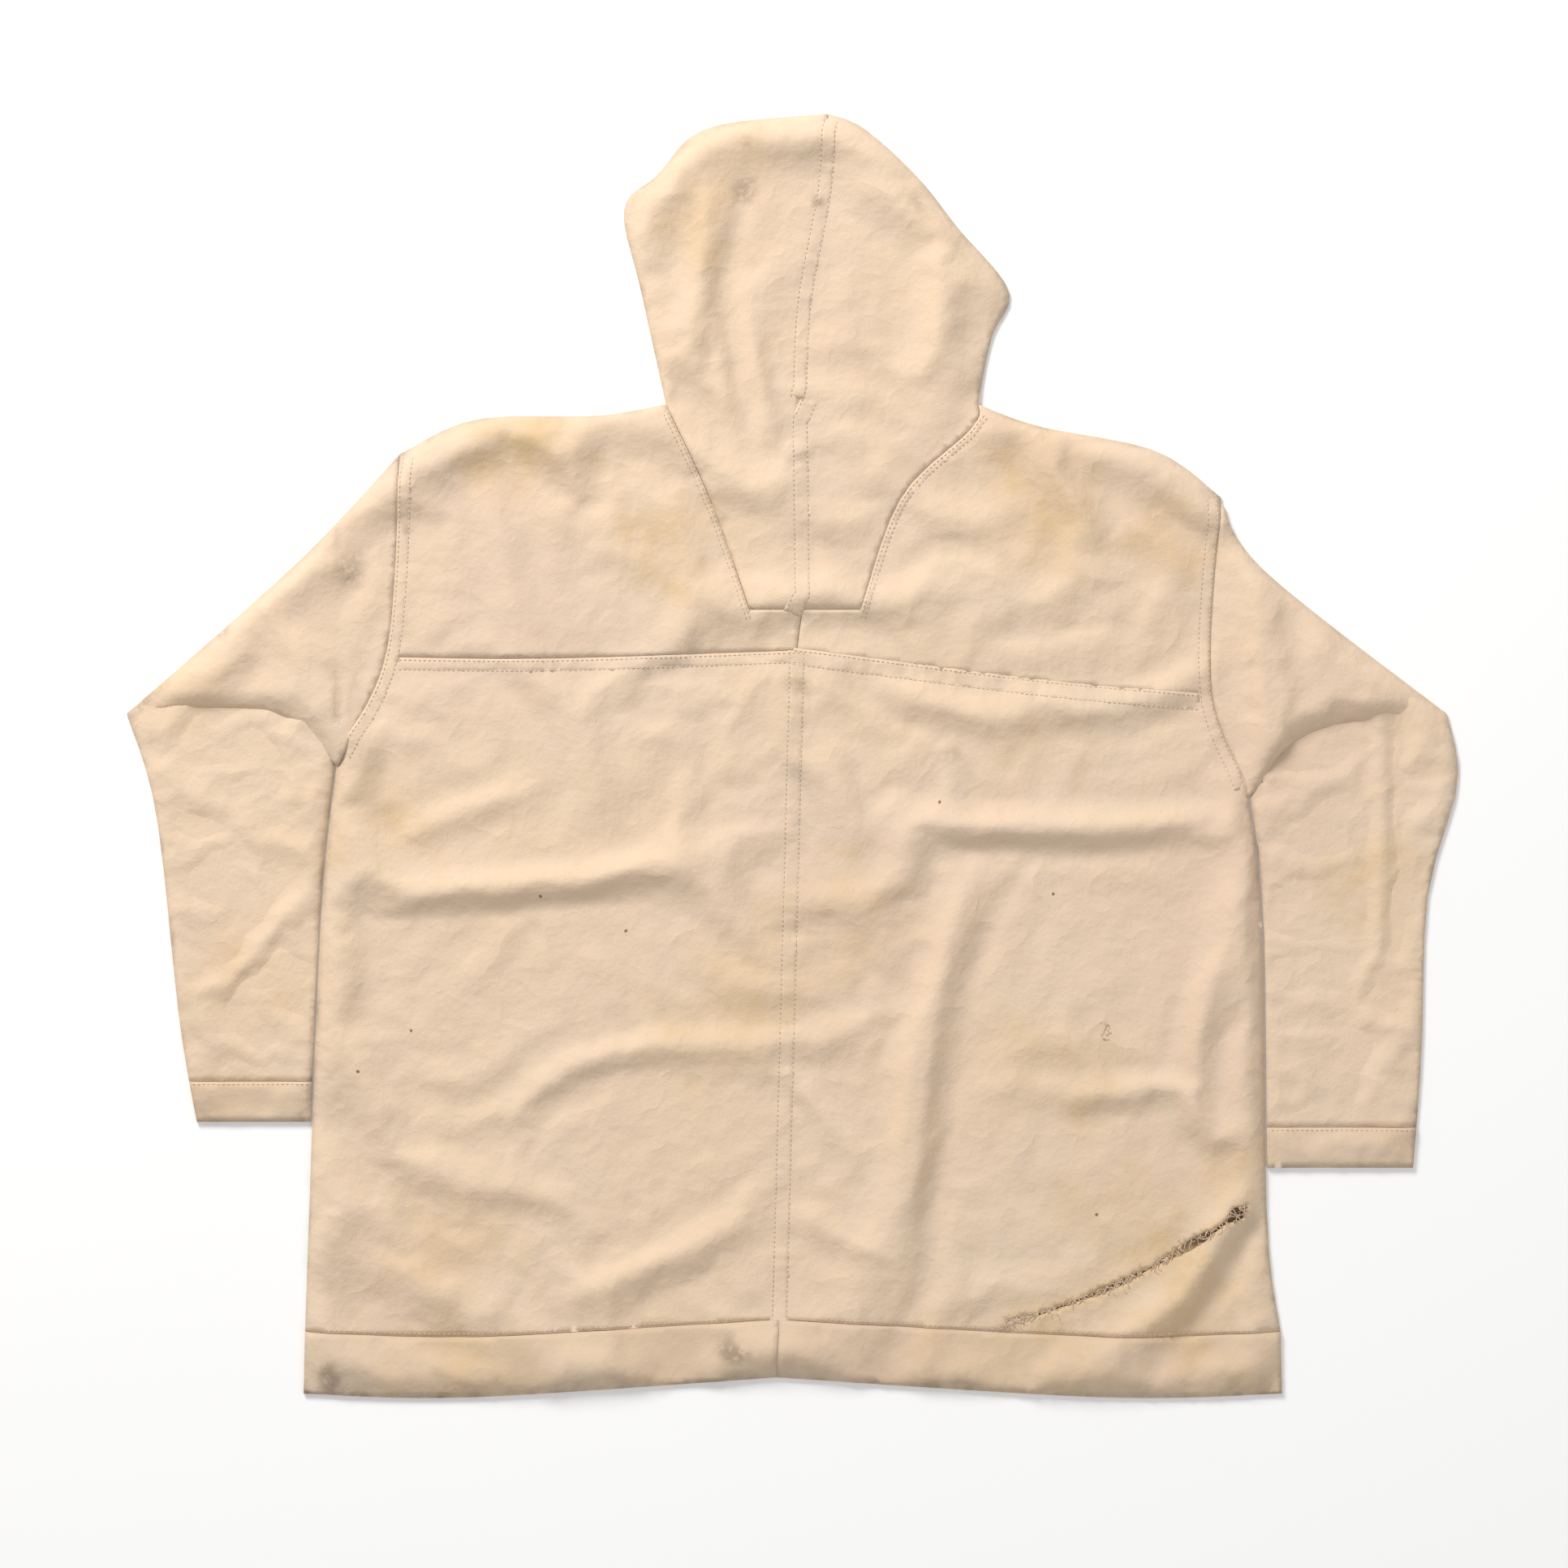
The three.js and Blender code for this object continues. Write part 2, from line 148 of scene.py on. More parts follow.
table_mesh = bpy.data.meshes.new("table")
corner = TABLE_SIZE / 2
corners = [(-corner, -corner, 0), (corner, -corner, 0), (corner, corner, 0), (-corner, corner, 0)]
table_mesh.from_pydata([(x, y, cad_low.z - TABLE_DROP) for x, y, _ in corners], [], [(0, 1, 2, 3)])
table = new_object("table", table_mesh)
table_finish = bpy.data.materials.new("pale_table")
table_finish.use_nodes = True
table_shader = table_finish.node_tree.nodes["Principled BSDF"]
table_shader.inputs["Base Color"].default_value = (0.93, 0.93, 0.925, 1)
table_shader.inputs["Roughness"].default_value = 0.9
table_shader.inputs["Emission Color"].default_value = (1, 1, 1, 1)
table_shader.inputs["Emission Strength"].default_value = TABLE_GLOW
table_mesh.materials.append(table_finish)
table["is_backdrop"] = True

# %% [markdown]
# Every panel is cut to an outline. The CAD model already holds it, as the rim of a flat plate,
# so the outline is read back from there: the rim is made of the edges that only one upward
# face uses. Sharp corners are kept, and the rim between them is stepped evenly, which lets two
# neighbouring panels meet point to point.

# %% Read an outline from the frame
STEP = 4.0 * MM
CORNER_TURN = math.radians(24)


def outline_of(node):
    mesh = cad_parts[node].data
    used = set()
    for face in mesh.polygons:
        if face.normal.z > 0.9:
            ring = [tuple(round(c, 5) for c in mesh.vertices[i].co.xy) for i in face.vertices]
            used.update(zip(ring, ring[1:] + ring[:1]))
    rim = {a: b for a, b in used if (b, a) not in used}
    loop = [min(rim)]
    while rim[loop[-1]] != loop[0]:
        loop.append(rim[loop[-1]])
    return np.array(loop)


def along(points, count):
    """The same path in equal steps."""
    steps = np.hypot(*np.diff(points, axis=0).T)
    reach = np.concatenate([[0], np.cumsum(steps)])
    want = np.linspace(0, reach[-1], count)
    return np.stack([np.interp(want, reach, points[:, k]) for k in (0, 1)], axis=1)


def length_of(points):
    return float(np.hypot(*np.diff(points, axis=0).T).sum())


def area_of(outline):
    x, y = outline.T
    return abs(float((x * np.roll(y, -1) - y * np.roll(x, -1)).sum())) / 2


def stepped(outline, step=STEP):
    before = outline - np.roll(outline, 1, axis=0)
    after = np.roll(outline, -1, axis=0) - outline
    turn = np.arctan2(after[:, 1], after[:, 0]) - np.arctan2(before[:, 1], before[:, 0])
    turn = np.abs((turn + math.pi) % (2 * math.pi) - math.pi)
    corners = [i for i in range(len(outline)) if turn[i] > CORNER_TURN] or [0]
    closed = np.vstack([outline, outline])
    sides = []
    for here, there in zip(corners, corners[1:] + [corners[0] + len(outline)]):
        side = closed[here:there + 1]
        count = max(int(math.ceil(length_of(side) / step)), 1) + 1
        sides.append(along(side, count)[:-1])
    return np.vstack(sides)


print("back_left rim", len(stepped(outline_of("back_left"))), "points")

# %% [markdown]
# The shape of the lying cloth is one height map over the whole table. Every panel, seam and
# stitch reads its height there, so the layers can't part. Soft noise comes from random grain
# that has been blurred, and the blur is done on its frequencies, which handles any width in
# one go.

# %% A height map and its tools
CELL = 2.5 * MM
BLUR_FALL = 19.7  # twice pi squared, which makes the blur a bell curve
MARGIN = 40 * MM
grid_x = np.arange(cad_low.x - MARGIN, cad_high.x + MARGIN, CELL)
grid_y = np.arange(cad_low.y - MARGIN, cad_high.y + MARGIN, CELL)
X, Y = np.meshgrid(grid_x, grid_y)
grain = np.random.default_rng(11)


def blurred(field, width, width_y=None):
    fx = np.fft.rfftfreq(field.shape[1], CELL)
    fy = np.fft.fftfreq(field.shape[0], CELL)[:, None]
    keep = (fx * width) ** 2 + (fy * (width_y or width)) ** 2
    return np.fft.irfft2(np.fft.rfft2(field) * np.exp(-BLUR_FALL * keep), s=field.shape)


def soft_noise(width, width_y=None):
    field = blurred(grain.standard_normal(X.shape), width, width_y)
    return field / field.std()


def inside(outline, x, y):
    hit = np.zeros(x.shape, bool)
    for (ax, ay), (bx, by) in zip(outline, np.roll(outline, -1, axis=0)):
        if ay != by:
            crosses = (ay > y) != (by > y)
            hit ^= crosses & (x < (bx - ax) * (y - ay) / (by - ay) + ax)
    return hit


def read_map(field, points):
    """A map's value at each point, blended between its four cells."""
    u = np.clip((points[:, 0] - grid_x[0]) / CELL, 0, len(grid_x) - 1.001)
    v = np.clip((points[:, 1] - grid_y[0]) / CELL, 0, len(grid_y) - 1.001)
    i, j = u.astype(int), v.astype(int)
    s, t = u - i, v - j
    low = field[j, i] * (1 - s) + field[j, i + 1] * s
    high = field[j + 1, i] * (1 - s) + field[j + 1, i + 1] * s
    return low * (1 - t) + high * t


def to_path(points, path):
    """Distance from each point to a path, with the share of the path where it is nearest."""
    nearest = np.full(len(points), 1e9)
    share = np.zeros(len(points))
    steps = np.hypot(*np.diff(path, axis=0).T)
    reach = np.concatenate([[0], np.cumsum(steps)])
    for k in range(len(path) - 1):
        a, d = path[k], path[k + 1] - path[k]
        if steps[k] == 0:
            continue
        t = np.clip(((points - a) @ d) / (d @ d), 0, 1)
        gap = np.hypot(*(points - a - t[:, None] * d).T)
        closer = gap < nearest
        nearest[closer] = gap[closer]
        share[closer] = (reach[k] + t[closer] * steps[k]) / reach[-1]
    return nearest, share


def close_to(path, reach):
    """The map's cells near a path, with each one's distance from it and share along it."""
    low, high = path.min(0) - reach, path.max(0) + reach
    near = (X > low[0]) & (X < high[0]) & (Y > low[1]) & (Y < high[1])
    gap, share = to_path(np.stack([X[near], Y[near]], axis=1), path)
    return near, gap, share


def on(piece, across, up):
    """A place on a piece, as shares of its own width and length."""
    low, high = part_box(piece)
    return np.array([low.x + (high.x - low.x) * across, low.y + (high.y - low.y) * up])


def heading_path(start, bearing, length, turn, steps=40):
    """A path that leaves a place on a bearing and turns evenly as it goes."""
    headings = np.radians(bearing + turn * np.linspace(0, 1, steps))
    moves = np.stack([np.cos(headings), np.sin(headings)], axis=1) * length / steps
    return start + np.vstack([[0, 0], np.cumsum(moves, axis=0)])


def sideways(line, distance):
    """The path moved to its left by a distance, which may change along it."""
    ahead = np.gradient(line, axis=0)
    ahead /= np.hypot(*ahead.T)[:, None]
    return line + np.stack([-ahead[:, 1], ahead[:, 0]], axis=1) * np.reshape(distance, (-1, 1))


print("height map", X.shape, "cells of", CELL / MM, "mm")

# %% [markdown]
# Two layers of canvas that lie loosely don't touch: air holds them apart, and only the rim
# comes down to the table. Blurring the garment's shape gives that swell, because the blur is
# one half at the rim and one well inside.

# %% How full the cloth lies
BOTH = ("left", "right")
RIM_HEIGHT = 2.6 * MM
BODY_HEIGHT = 8.0 * MM
FOREARM_HEIGHT = 6.2 * MM
SLEEVE_LIFT = 3.2 * MM
RIM_BLUR = 13 * MM


def shape_of(names):
    hit = np.zeros(X.shape, bool)
    for name in names:
        for side in BOTH:
            hit |= inside(outline_of(f"{name}_{side}"), X, Y)
    return np.clip(blurred(hit.astype(float), CELL) * 1.02, 0, 1)


def swell(shape):
    full = np.clip(2 * blurred(shape, RIM_BLUR) - 1, 0, 1)
    return full ** 0.7


body_shape = shape_of(["back", "yoke", "hood_tongue", "hem_back", "hood", "sleeve_head_top", "sleeve_top"])
forearm_shape = shape_of(["forearm_top", "cuff"])
sleeve_shape = blurred(shape_of(["sleeve_top"]), 14 * MM)
body = RIM_HEIGHT + (BODY_HEIGHT - RIM_HEIGHT) * swell(body_shape) + SLEEVE_LIFT * sleeve_shape
forearm = RIM_HEIGHT + (FOREARM_HEIGHT - RIM_HEIGHT) * swell(forearm_shape)
print("body covers", round(float(body_shape.sum()) * CELL ** 2, 3), "square metres")

# %% [markdown]
# Heavy canvas keeps the creases it was worn and packed with: long low rolls with a sharp back,
# each fading out at both ends. The large ones are placed one by one. Each row gives the panel,
# where on it the crease starts, its bearing in degrees, its length in millimetres, how far it
# turns on the way, and its height and half width. A negative height is a hollow.

# %% Large creases, placed one by one
BODY_CREASES = [
    ("back_left", 0.15, 0.7, 35, 130, -25, 5, 9),
    ("back_left", 0.2, 0.65, 0, 130, 10, 4, 8),
    ("back_left", 0.5, 0.65, 20, 90, -10, 4, 8),
    ("back_left", 0.4, 0.3, 55, 180, -70, 5, 10),
    ("back_left", 0.5, 0.05, 20, 170, 5, 5, 12),
    ("back_left", 0.1, 0.45, -70, 110, -10, 3, 14),
    ("back_left", 0.65, 0.6, -75, 90, -25, -3, 16),
    ("back_right", 0.2, 0.95, -20, 95, 0, 4, 9),
    ("back_right", 0.45, 0.95, -30, 170, 75, 5, 10),
    ("back_right", 0.25, 0.75, -5, 220, 10, 7, 10),
    ("back_right", 0.4, 0.7, -115, 280, 30, 6, 13),
    ("back_right", 0.55, 0.45, -50, 60, 0, 4, 9),
    ("back_right", 0.55, 0.35, 5, 85, 0, 4, 8),
    ("back_right", 0.75, 0.4, -50, 80, -5, 4, 9),
    ("back_right", 0, 0.4, -50, 105, -5, 4, 9),
    ("back_right", 0, 0.2, -35, 100, 15, 5, 10),
    ("back_right", 0.85, 0.55, -95, 150, 0, 5, 12),
    ("back_right", 0.7, 0, 35, 150, 45, 5, 11),
    ("yoke_left", 0.3, 0.9, -15, 80, -60, 4, 9),
    ("yoke_left", 0.5, 0.6, -70, 80, 40, 3, 12),
    ("yoke_right", 0.55, 0.85, -45, 80, -25, 4, 9),
    ("yoke_right", 0.75, 0.6, -20, 75, -50, 5, 11),
    ("yoke_right", 0.4, 0.2, 0, 130, 15, -4, 16),
    ("hood_left", 0.45, 0.85, -100, 150, 10, 5, 11),
    ("hood_left", 0.3, 0.2, -60, 60, 5, 5, 7),
    ("hood_left", 0.45, 0.3, -85, 100, 10, 5, 6),
    ("hood_left", 0.6, 0.3, -80, 100, 5, 4, 6),
    ("hood_right", 0.4, 0.65, -80, 110, -15, -4, 16),
    ("hood_right", 0.65, 0.55, -80, 110, -30, 5, 13),
    ("sleeve_top_left", 0.4, 0.5, 25, 100, 20, 4, 12),
    ("sleeve_top_left", 0.2, 0.2, 10, 100, -15, 3, 11),
    ("sleeve_top_right", 0.2, 0.6, -30, 90, -10, 4, 12),
]
FOREARM_CREASES = [
    ("forearm_top_left", 0.35, 1, -100, 65, 10, 4, 7),
    ("forearm_top_left", 0.5, 1, -95, 55, 0, 3, 6),
    ("forearm_top_left", 0.85, 0.95, -90, 85, 0, 4, 7),
    ("forearm_top_left", 0.15, 0.7, 50, 45, 0, 4, 7),
    ("forearm_top_left", 0.9, 0.4, -135, 110, 10, 4, 8),
    ("forearm_top_right", 0.6, 0.9, -85, 225, -10, 5, 7),
    ("forearm_top_right", 0.2, 0.85, -75, 100, -20, 4, 9),
    ("forearm_top_right", 0.85, 0.85, -95, 85, -20, 4, 8),
]
FOLD_GAIN = 0.5


def lay_crease(field, path, height, half_width):
    """Adds one crease to a height map: a sharp back with a shallow trough beside it."""
    width = half_width * MM
    near, gap, share = close_to(path, 4 * width)
    fade = np.clip(np.minimum(share, 1 - share) / 0.28, 0, 1) ** 0.8
    back = np.exp(-np.abs(gap / width) ** 1.2) - 0.3 * np.exp(-((gap - 2 * width) / width) ** 2)
    field[near] += height * MM * FOLD_GAIN * back * fade


def lay_rows(field, rows):
    for piece, across, up, bearing, length, turn, height, half_width in rows:
        path = heading_path(on(piece, across, up), bearing, length * MM, turn)
        lay_crease(field, path, height, half_width)


lay_rows(body, BODY_CREASES)
lay_rows(forearm, FOREARM_CREASES)
crumple = 0.9 * soft_noise(34 * MM) - 0.4 * np.abs(soft_noise(20 * MM))
body += crumple * MM * swell(body_shape)
forearm += 0.8 * crumple[::-1, ::-1] * MM * swell(forearm_shape)
print("creases", len(BODY_CREASES) + len(FOREARM_CREASES))

# %% [markdown]
# Creases placed one by one look drawn. Real ones come from a little spare cloth that has to go
# somewhere. So the laid canvas is simulated as one sheet: held round its rim, given one or two
# percent more cloth than it has room for, and dropped onto a floor. A stiff sheet makes a few
# long folds and a softer one many short ones. Old canvas shows both, so both are run and mixed.
# The floor's reach has to be deeper than the cloth falls in one step, or the cloth goes through.

# %% Let the canvas settle
SETTLE_STEP = 8 * MM
SETTLE_FRAMES = 24
SETTLE_QUALITY = 7
FLOOR_REACH = 5 * MM
CLOTH_REACH = 3 * MM
REST_HEIGHT = 2 * MM
FLOOR_SIDE = 1.3
FLOOR_CELLS = 24
HELD = 0.16
SHEET_MASS = 0.25
STRETCH_STIFFNESS = 25
SHEAR_STIFFNESS = 12
DAMPING = 3
GRAVITY_SHARE = 0.4
scatter = np.random.default_rng(4)


def settling_floor():
    ticks = np.linspace(-FLOOR_SIDE / 2, FLOOR_SIDE / 2, FLOOR_CELLS)
    level = REST_HEIGHT - FLOOR_REACH - CLOTH_REACH
    places = [(x, y, level) for y in ticks for x in ticks]
    squares = [(j, i) for j in range(FLOOR_CELLS - 1) for i in range(FLOOR_CELLS - 1)]
    faces = [(j * FLOOR_CELLS + i, j * FLOOR_CELLS + i + 1, (j + 1) * FLOOR_CELLS + i + 1,
              (j + 1) * FLOOR_CELLS + i) for j, i in squares]
    mesh = bpy.data.meshes.new("settling_floor")
    mesh.from_pydata(places, [], faces)
    floor = new_object("settling_floor", mesh)
    floor.modifiers.new("stop", "COLLISION")
    floor.collision.thickness_outer = FLOOR_REACH
    floor.collision.cloth_friction = 25
    return floor


def loose_sheet(shape, step):
    """Scattered points over a shape, joined up into triangles."""
    rows = np.arange(grid_y[0], grid_y[-1], step * 0.866)
    spots = np.array([(x, y) for k, y in enumerate(rows)
                      for x in np.arange(grid_x[0] + step * 0.5 * (k % 2), grid_x[-1], step)])
    spots = spots[read_map(shape, spots) > 0.5]
    spots = spots + scatter.uniform(-0.28, 0.28, spots.shape) * step
    made, _, faces, *_ = delaunay_2d_cdt([Vector(p) for p in spots.tolist()], [], [], 0, 1e-7)
    places = np.array([tuple(p) for p in made])
    corners = places[np.array([tuple(f) for f in faces])]
    longest = np.hypot(*(corners - np.roll(corners, 1, axis=1)).transpose(2, 0, 1)).max(1)
    keep = (read_map(shape, corners.mean(1)) > 0.4) & (longest < 2.2 * step)
    return places, [tuple(f) for f, k in zip(faces, keep) if k]


def settled(field, shape, stiffness, spare, step=SETTLE_STEP):
    """The map after the cloth has been simulated."""
    places, faces = loose_sheet(shape, step)
    mesh = bpy.data.meshes.new("settling")
    mesh.from_pydata(np.column_stack([places, read_map(field, places)]).tolist(), [], faces)
    sheet = new_object("settling", mesh)
    rim = np.clip(2 * blurred(shape, RIM_BLUR) - 1, 0, 1)
    hold = sheet.vertex_groups.new(name="hold")
    hold.add(np.nonzero(read_map(rim, places) < HELD)[0].tolist(), 1.0, "REPLACE")
    fabric = sheet.modifiers.new("fabric", "CLOTH")
    feel = fabric.settings
    feel.quality = SETTLE_QUALITY
    feel.mass = SHEET_MASS
    feel.tension_stiffness = feel.compression_stiffness = STRETCH_STIFFNESS
    feel.shear_stiffness = SHEAR_STIFFNESS
    feel.bending_stiffness = stiffness
    feel.air_damping = DAMPING
    feel.vertex_group_mass = "hold"
    feel.shrink_min = feel.shrink_max = -spare
    feel.effector_weights.gravity = GRAVITY_SHARE
    fabric.collision_settings.distance_min = CLOTH_REACH
    fabric.point_cache.frame_start, fabric.point_cache.frame_end = 1, SETTLE_FRAMES
    floor = settling_floor()
    for moment in range(1, SETTLE_FRAMES + 1):
        scene.frame_set(moment)
    laid = sheet.evaluated_get(bpy.context.evaluated_depsgraph_get()).to_mesh()
    tree = BVHTree.FromPolygons([tuple(v.co) for v in laid.vertices], faces)
    result = field.copy()
    for j, i in zip(*np.nonzero(shape > 0.5)):
        hit = tree.ray_cast(Vector((grid_x[i], grid_y[j], 0.2)), Vector((0, 0, -1)))
        if hit[0] is not None:
            result[j, i] = hit[0].z
    for used in (sheet, floor):
        spent = used.data
        bpy.data.objects.remove(used)
        bpy.data.meshes.remove(spent)
    scene.frame_set(1)
    return result


LONG_SHARE = 0.5
SHORT_SHARE = 0.85
EVEN_BLUR = 40 * MM


def with_folds(field, shape, keep):
    """Long and short folds of the settled cloth; keep is the share of the first map to hold."""
    long_folds = settled(field, shape, 60, 0.02) - field
    short_folds = settled(field, shape, 15, 0.015)
    short_folds = short_folds - blurred(short_folds, EVEN_BLUR)
    return field + (1 - keep) * LONG_SHARE * long_folds + SHORT_SHARE * short_folds * swell(shape)


body = with_folds(body, body_shape, 0.7 * sleeve_shape)
arm_folds = settled(forearm, forearm_shape, 15, 0.02, 6 * MM)
forearm = forearm + 0.85 * (arm_folds - forearm)
fine = -0.32 * np.abs(soft_noise(9 * MM, 12 * MM)) - 0.3 * np.abs(soft_noise(15 * MM))
body = np.clip(body + fine * MM * swell(body_shape), None, 15 * MM)
forearm = forearm + fine[::-1, ::-1] * MM * swell(forearm_shape)
print("highest fold", round(float(body.max()) / MM, 1), "mm")

# %% [markdown]
# A felled seam is two turnings folded round each other and sewn down flat with two rows of
# thread. The thread pulls, so the cloth beside it puckers into short ripples across the seam.
# The middle line of each seam comes from its CAD strip: its rim is split at its two ends, and
# the two long sides are averaged.

# %% Seam lines and their puckers
PUCKER_PITCH = 11 * MM
PUCKER_HEIGHT = 0.75 * MM
PUCKER_REACH = 11 * MM
SEAM_SINK = 1.3 * MM


def spine_of(node):
    """Middle line and mean half width of a long narrow plate."""
    rim = outline_of(node)
    gaps = np.hypot(*(rim[:, None] - rim[None]).transpose(2, 0, 1))
    i, j = sorted(np.unravel_index(gaps.argmax(), gaps.shape))
    near = along(rim[i:j + 1], 60)
    far = along(np.vstack([rim[j:], rim[:i + 1]])[::-1], 60)
    line = ((near + far) / 2)[2:-2]
    return line, float(np.hypot(*(near - far)[10:-10].T).mean()) / 2


SEAMS = ["centre_back_felling", "hood_centre_felling", "tongue_centre_felling"]
for side in BOTH:
    parts = ("yoke_felling", "armhole_felling", "tongue_felling", "hem_stitching")
    SEAMS += [f"{part}_{side}" for part in parts]
spines = {name: spine_of(name) for name in SEAMS}


def pucker(field, path, gain=1.0):
    near, gap, share = close_to(path, 4 * PUCKER_REACH)
    travel = share * length_of(path) / PUCKER_PITCH
    wobble = np.sin(travel * 2.1 + 1.3) + np.sin(travel * 0.83)
    ripple = np.sin(2 * math.pi * travel + 1.6 * wobble) * (0.6 + 0.4 * wobble)
    fade = np.clip(np.minimum(share, 1 - share) * 12, 0, 1)
    field[near] += gain * fade * PUCKER_HEIGHT * ripple * np.exp(-gap / PUCKER_REACH)
    field[near] -= gain * fade * SEAM_SINK * np.exp(-(gap / (1.6 * PUCKER_REACH)) ** 2)


for line, _ in spines.values():
    pucker(body, line)
body = np.maximum(body, 1.9 * MM)
forearm = np.maximum(forearm, 1.9 * MM)
print("seams", len(spines), "total", round(sum(length_of(s) for s, _ in spines.values()), 2), "m")

# %% [markdown]
# A panel starts as a flat rim filled with an even honeycomb of points, joined into triangles
# that all have about the same shape, so it bends alike in every direction. Its points then
# take their height from the map, and a second skin below gives the canvas its thickness. The
# outermost points dip a little, as a sewn or turned edge does.

# %% Cut and drape one piece of cloth
CANVAS = 1.1 * MM
EDGE_DIP = 0.45 * MM
EDGE_REACH = 2.2 * MM
WELD = 2.1 * MM


def honeycomb(rim, step):
    low, high = rim.min(0), rim.max(0)
    rows = np.arange(low[1] + step / 2, high[1], step * 0.866)
    points = [
        (x, y)
        for k, y in enumerate(rows)
        for x in np.arange(low[0] + step * (0.5 if k % 2 else 0.25), high[0], step)
    ]
    points = np.array(points).reshape(-1, 2)
    gap, _ = to_path(points, np.vstack([rim, rim[:1]]))
    return points[inside(rim, points[:, 0], points[:, 1]) & (gap > 0.55 * step)]


def filled(rim, step, hole=None):
    """Flat triangles that fill a rim, leaving out a hole."""
    points = honeycomb(rim, step)
    edges = [(i, (i + 1) % len(rim)) for i in range(len(rim))]
    if hole is not None:
        gap, _ = to_path(points, np.vstack([hole, hole[:1]]))
        points = points[~inside(hole, points[:, 0], points[:, 1]) & (gap > 0.4 * step)]
        first = len(rim)
        edges += [(first + i, first + (i + 1) % len(hole)) for i in range(len(hole))]
        points = np.vstack([hole, points])
    spots = [Vector(p) for p in np.vstack([rim, points]).tolist()]
    spots, _, faces, *_ = delaunay_2d_cdt(spots, edges, [], 0, 1e-7)
    places = np.array([tuple(p) for p in spots])
    middles = np.array([places[list(f)].mean(0) for f in faces])
    keep = inside(rim, middles[:, 0], middles[:, 1])
    if hole is not None:
        keep &= ~inside(hole, middles[:, 0], middles[:, 1])
    return places, [tuple(f) for f, k in zip(faces, keep) if k]


def flat_cloth(name, rims, step=STEP, hole=None):
    """One flat mesh from one or more rims, welded where they meet."""
    shape = bmesh.new()
    for rim in rims:
        places, faces = filled(rim, step, hole)
        made = [shape.verts.new((x, y, 0)) for x, y in places]
        for face in faces:
            shape.faces.new([made[i] for i in face])
    if len(rims) > 1:
        bmesh.ops.remove_doubles(shape, verts=shape.verts, dist=WELD)
    loose = [v for v in shape.verts if not v.link_faces]
    bmesh.ops.delete(shape, geom=loose, context="VERTS")
    mesh = bpy.data.meshes.new(name)
    shape.to_mesh(mesh)
    shape.free()
    return mesh


def points_of(mesh):
    flat = np.empty(len(mesh.vertices) * 3, "f")
    mesh.vertices.foreach_get("co", flat)
    return flat.reshape(-1, 3).astype(float)


def rim_gap(mesh, points):
    """Distance of each point from the nearest open edge of the cloth."""
    uses = {}
    for face in mesh.polygons:
        for edge in face.edge_keys:
            uses[edge] = uses.get(edge, 0) + 1
    ends = sorted({i for edge, n in uses.items() if n == 1 for i in edge})
    tree_points = points[ends, :2]
    gap = np.full(len(points), 1.0)
    for chunk in np.array_split(tree_points, max(len(tree_points) // 40, 1)):
        d = np.hypot(*(points[:, None, :2] - chunk[None]).transpose(2, 0, 1)).min(1)
        gap = np.minimum(gap, d)
    return gap


def thickened(shape, points, thickness):
    """A closed skin: the draped top, a copy below it, and a wall round every open edge."""
    count = len(points)
    faces = [tuple(f.vertices) for f in shape.polygons]
    under = points - [0, 0, thickness]
    uses = {}
    for face in faces:
        for a, b in zip(face, face[1:] + face[:1]):
            uses[(a, b)] = True
    wall = [(a, b) for a, b in uses if (b, a) not in uses]
    skin = faces + [tuple(count + i for i in reversed(f)) for f in faces]
    skin += [(b, a, count + a, count + b) for a, b in wall]
    mesh = bpy.data.meshes.new(shape.name)
    mesh.from_pydata(np.vstack([points, under]).tolist(), [], skin)
    return mesh


def drape(name, rims, field, lift=0.0, thickness=CANVAS, step=STEP, hole=None, dip=EDGE_DIP, shape_it=None):
    flat = flat_cloth(name, rims, step, hole)
    points = points_of(flat)
    points[:, 2] = read_map(field, points) + lift
    gap = rim_gap(flat, points)
    points[:, 2] -= dip * np.exp(-(gap / EDGE_REACH) ** 2)
    if shape_it:
        points = shape_it(points, gap)
    mesh = thickened(flat, points, thickness)
    mesh.polygons.foreach_set("use_smooth", [True] * len(mesh.polygons))
    bpy.data.meshes.remove(flat)
    piece = new_object(name, mesh)
    piece["cloth_area"] = sum(area_of(rim) for rim in rims)
    return piece


def joined(name, parts):
    """Several meshes as one piece."""
    area = sum(part["cloth_area"] for part in parts)
    shape = bmesh.new()
    for part in parts:
        shape.from_mesh(part.data)
    mesh = bpy.data.meshes.new(name)
    shape.to_mesh(mesh)
    shape.free()
    for part in parts:
        bpy.data.meshes.remove(part.data)
    piece = new_object(name, mesh)
    piece["cloth_area"] = area
    return piece


SLACK = 1.03


def as_cloth(piece, layers):
    """Works out a piece's flat size from the drawn piece, with a guessed share added for folds and
    its layers side by side, so it isn't a separate fact. The size is not kept or used."""
    points = points_of(piece.data)
    width, length = (points.max(0) - points.min(0))[:2] * SLACK
    width *= layers


print("tools for cloth are ready")

# %% [markdown]
# The front of the smock lies face down, so only its rim shows. It is still two whole panels
# and a hem, with a shallow waver where the canvas doesn't quite meet the table.

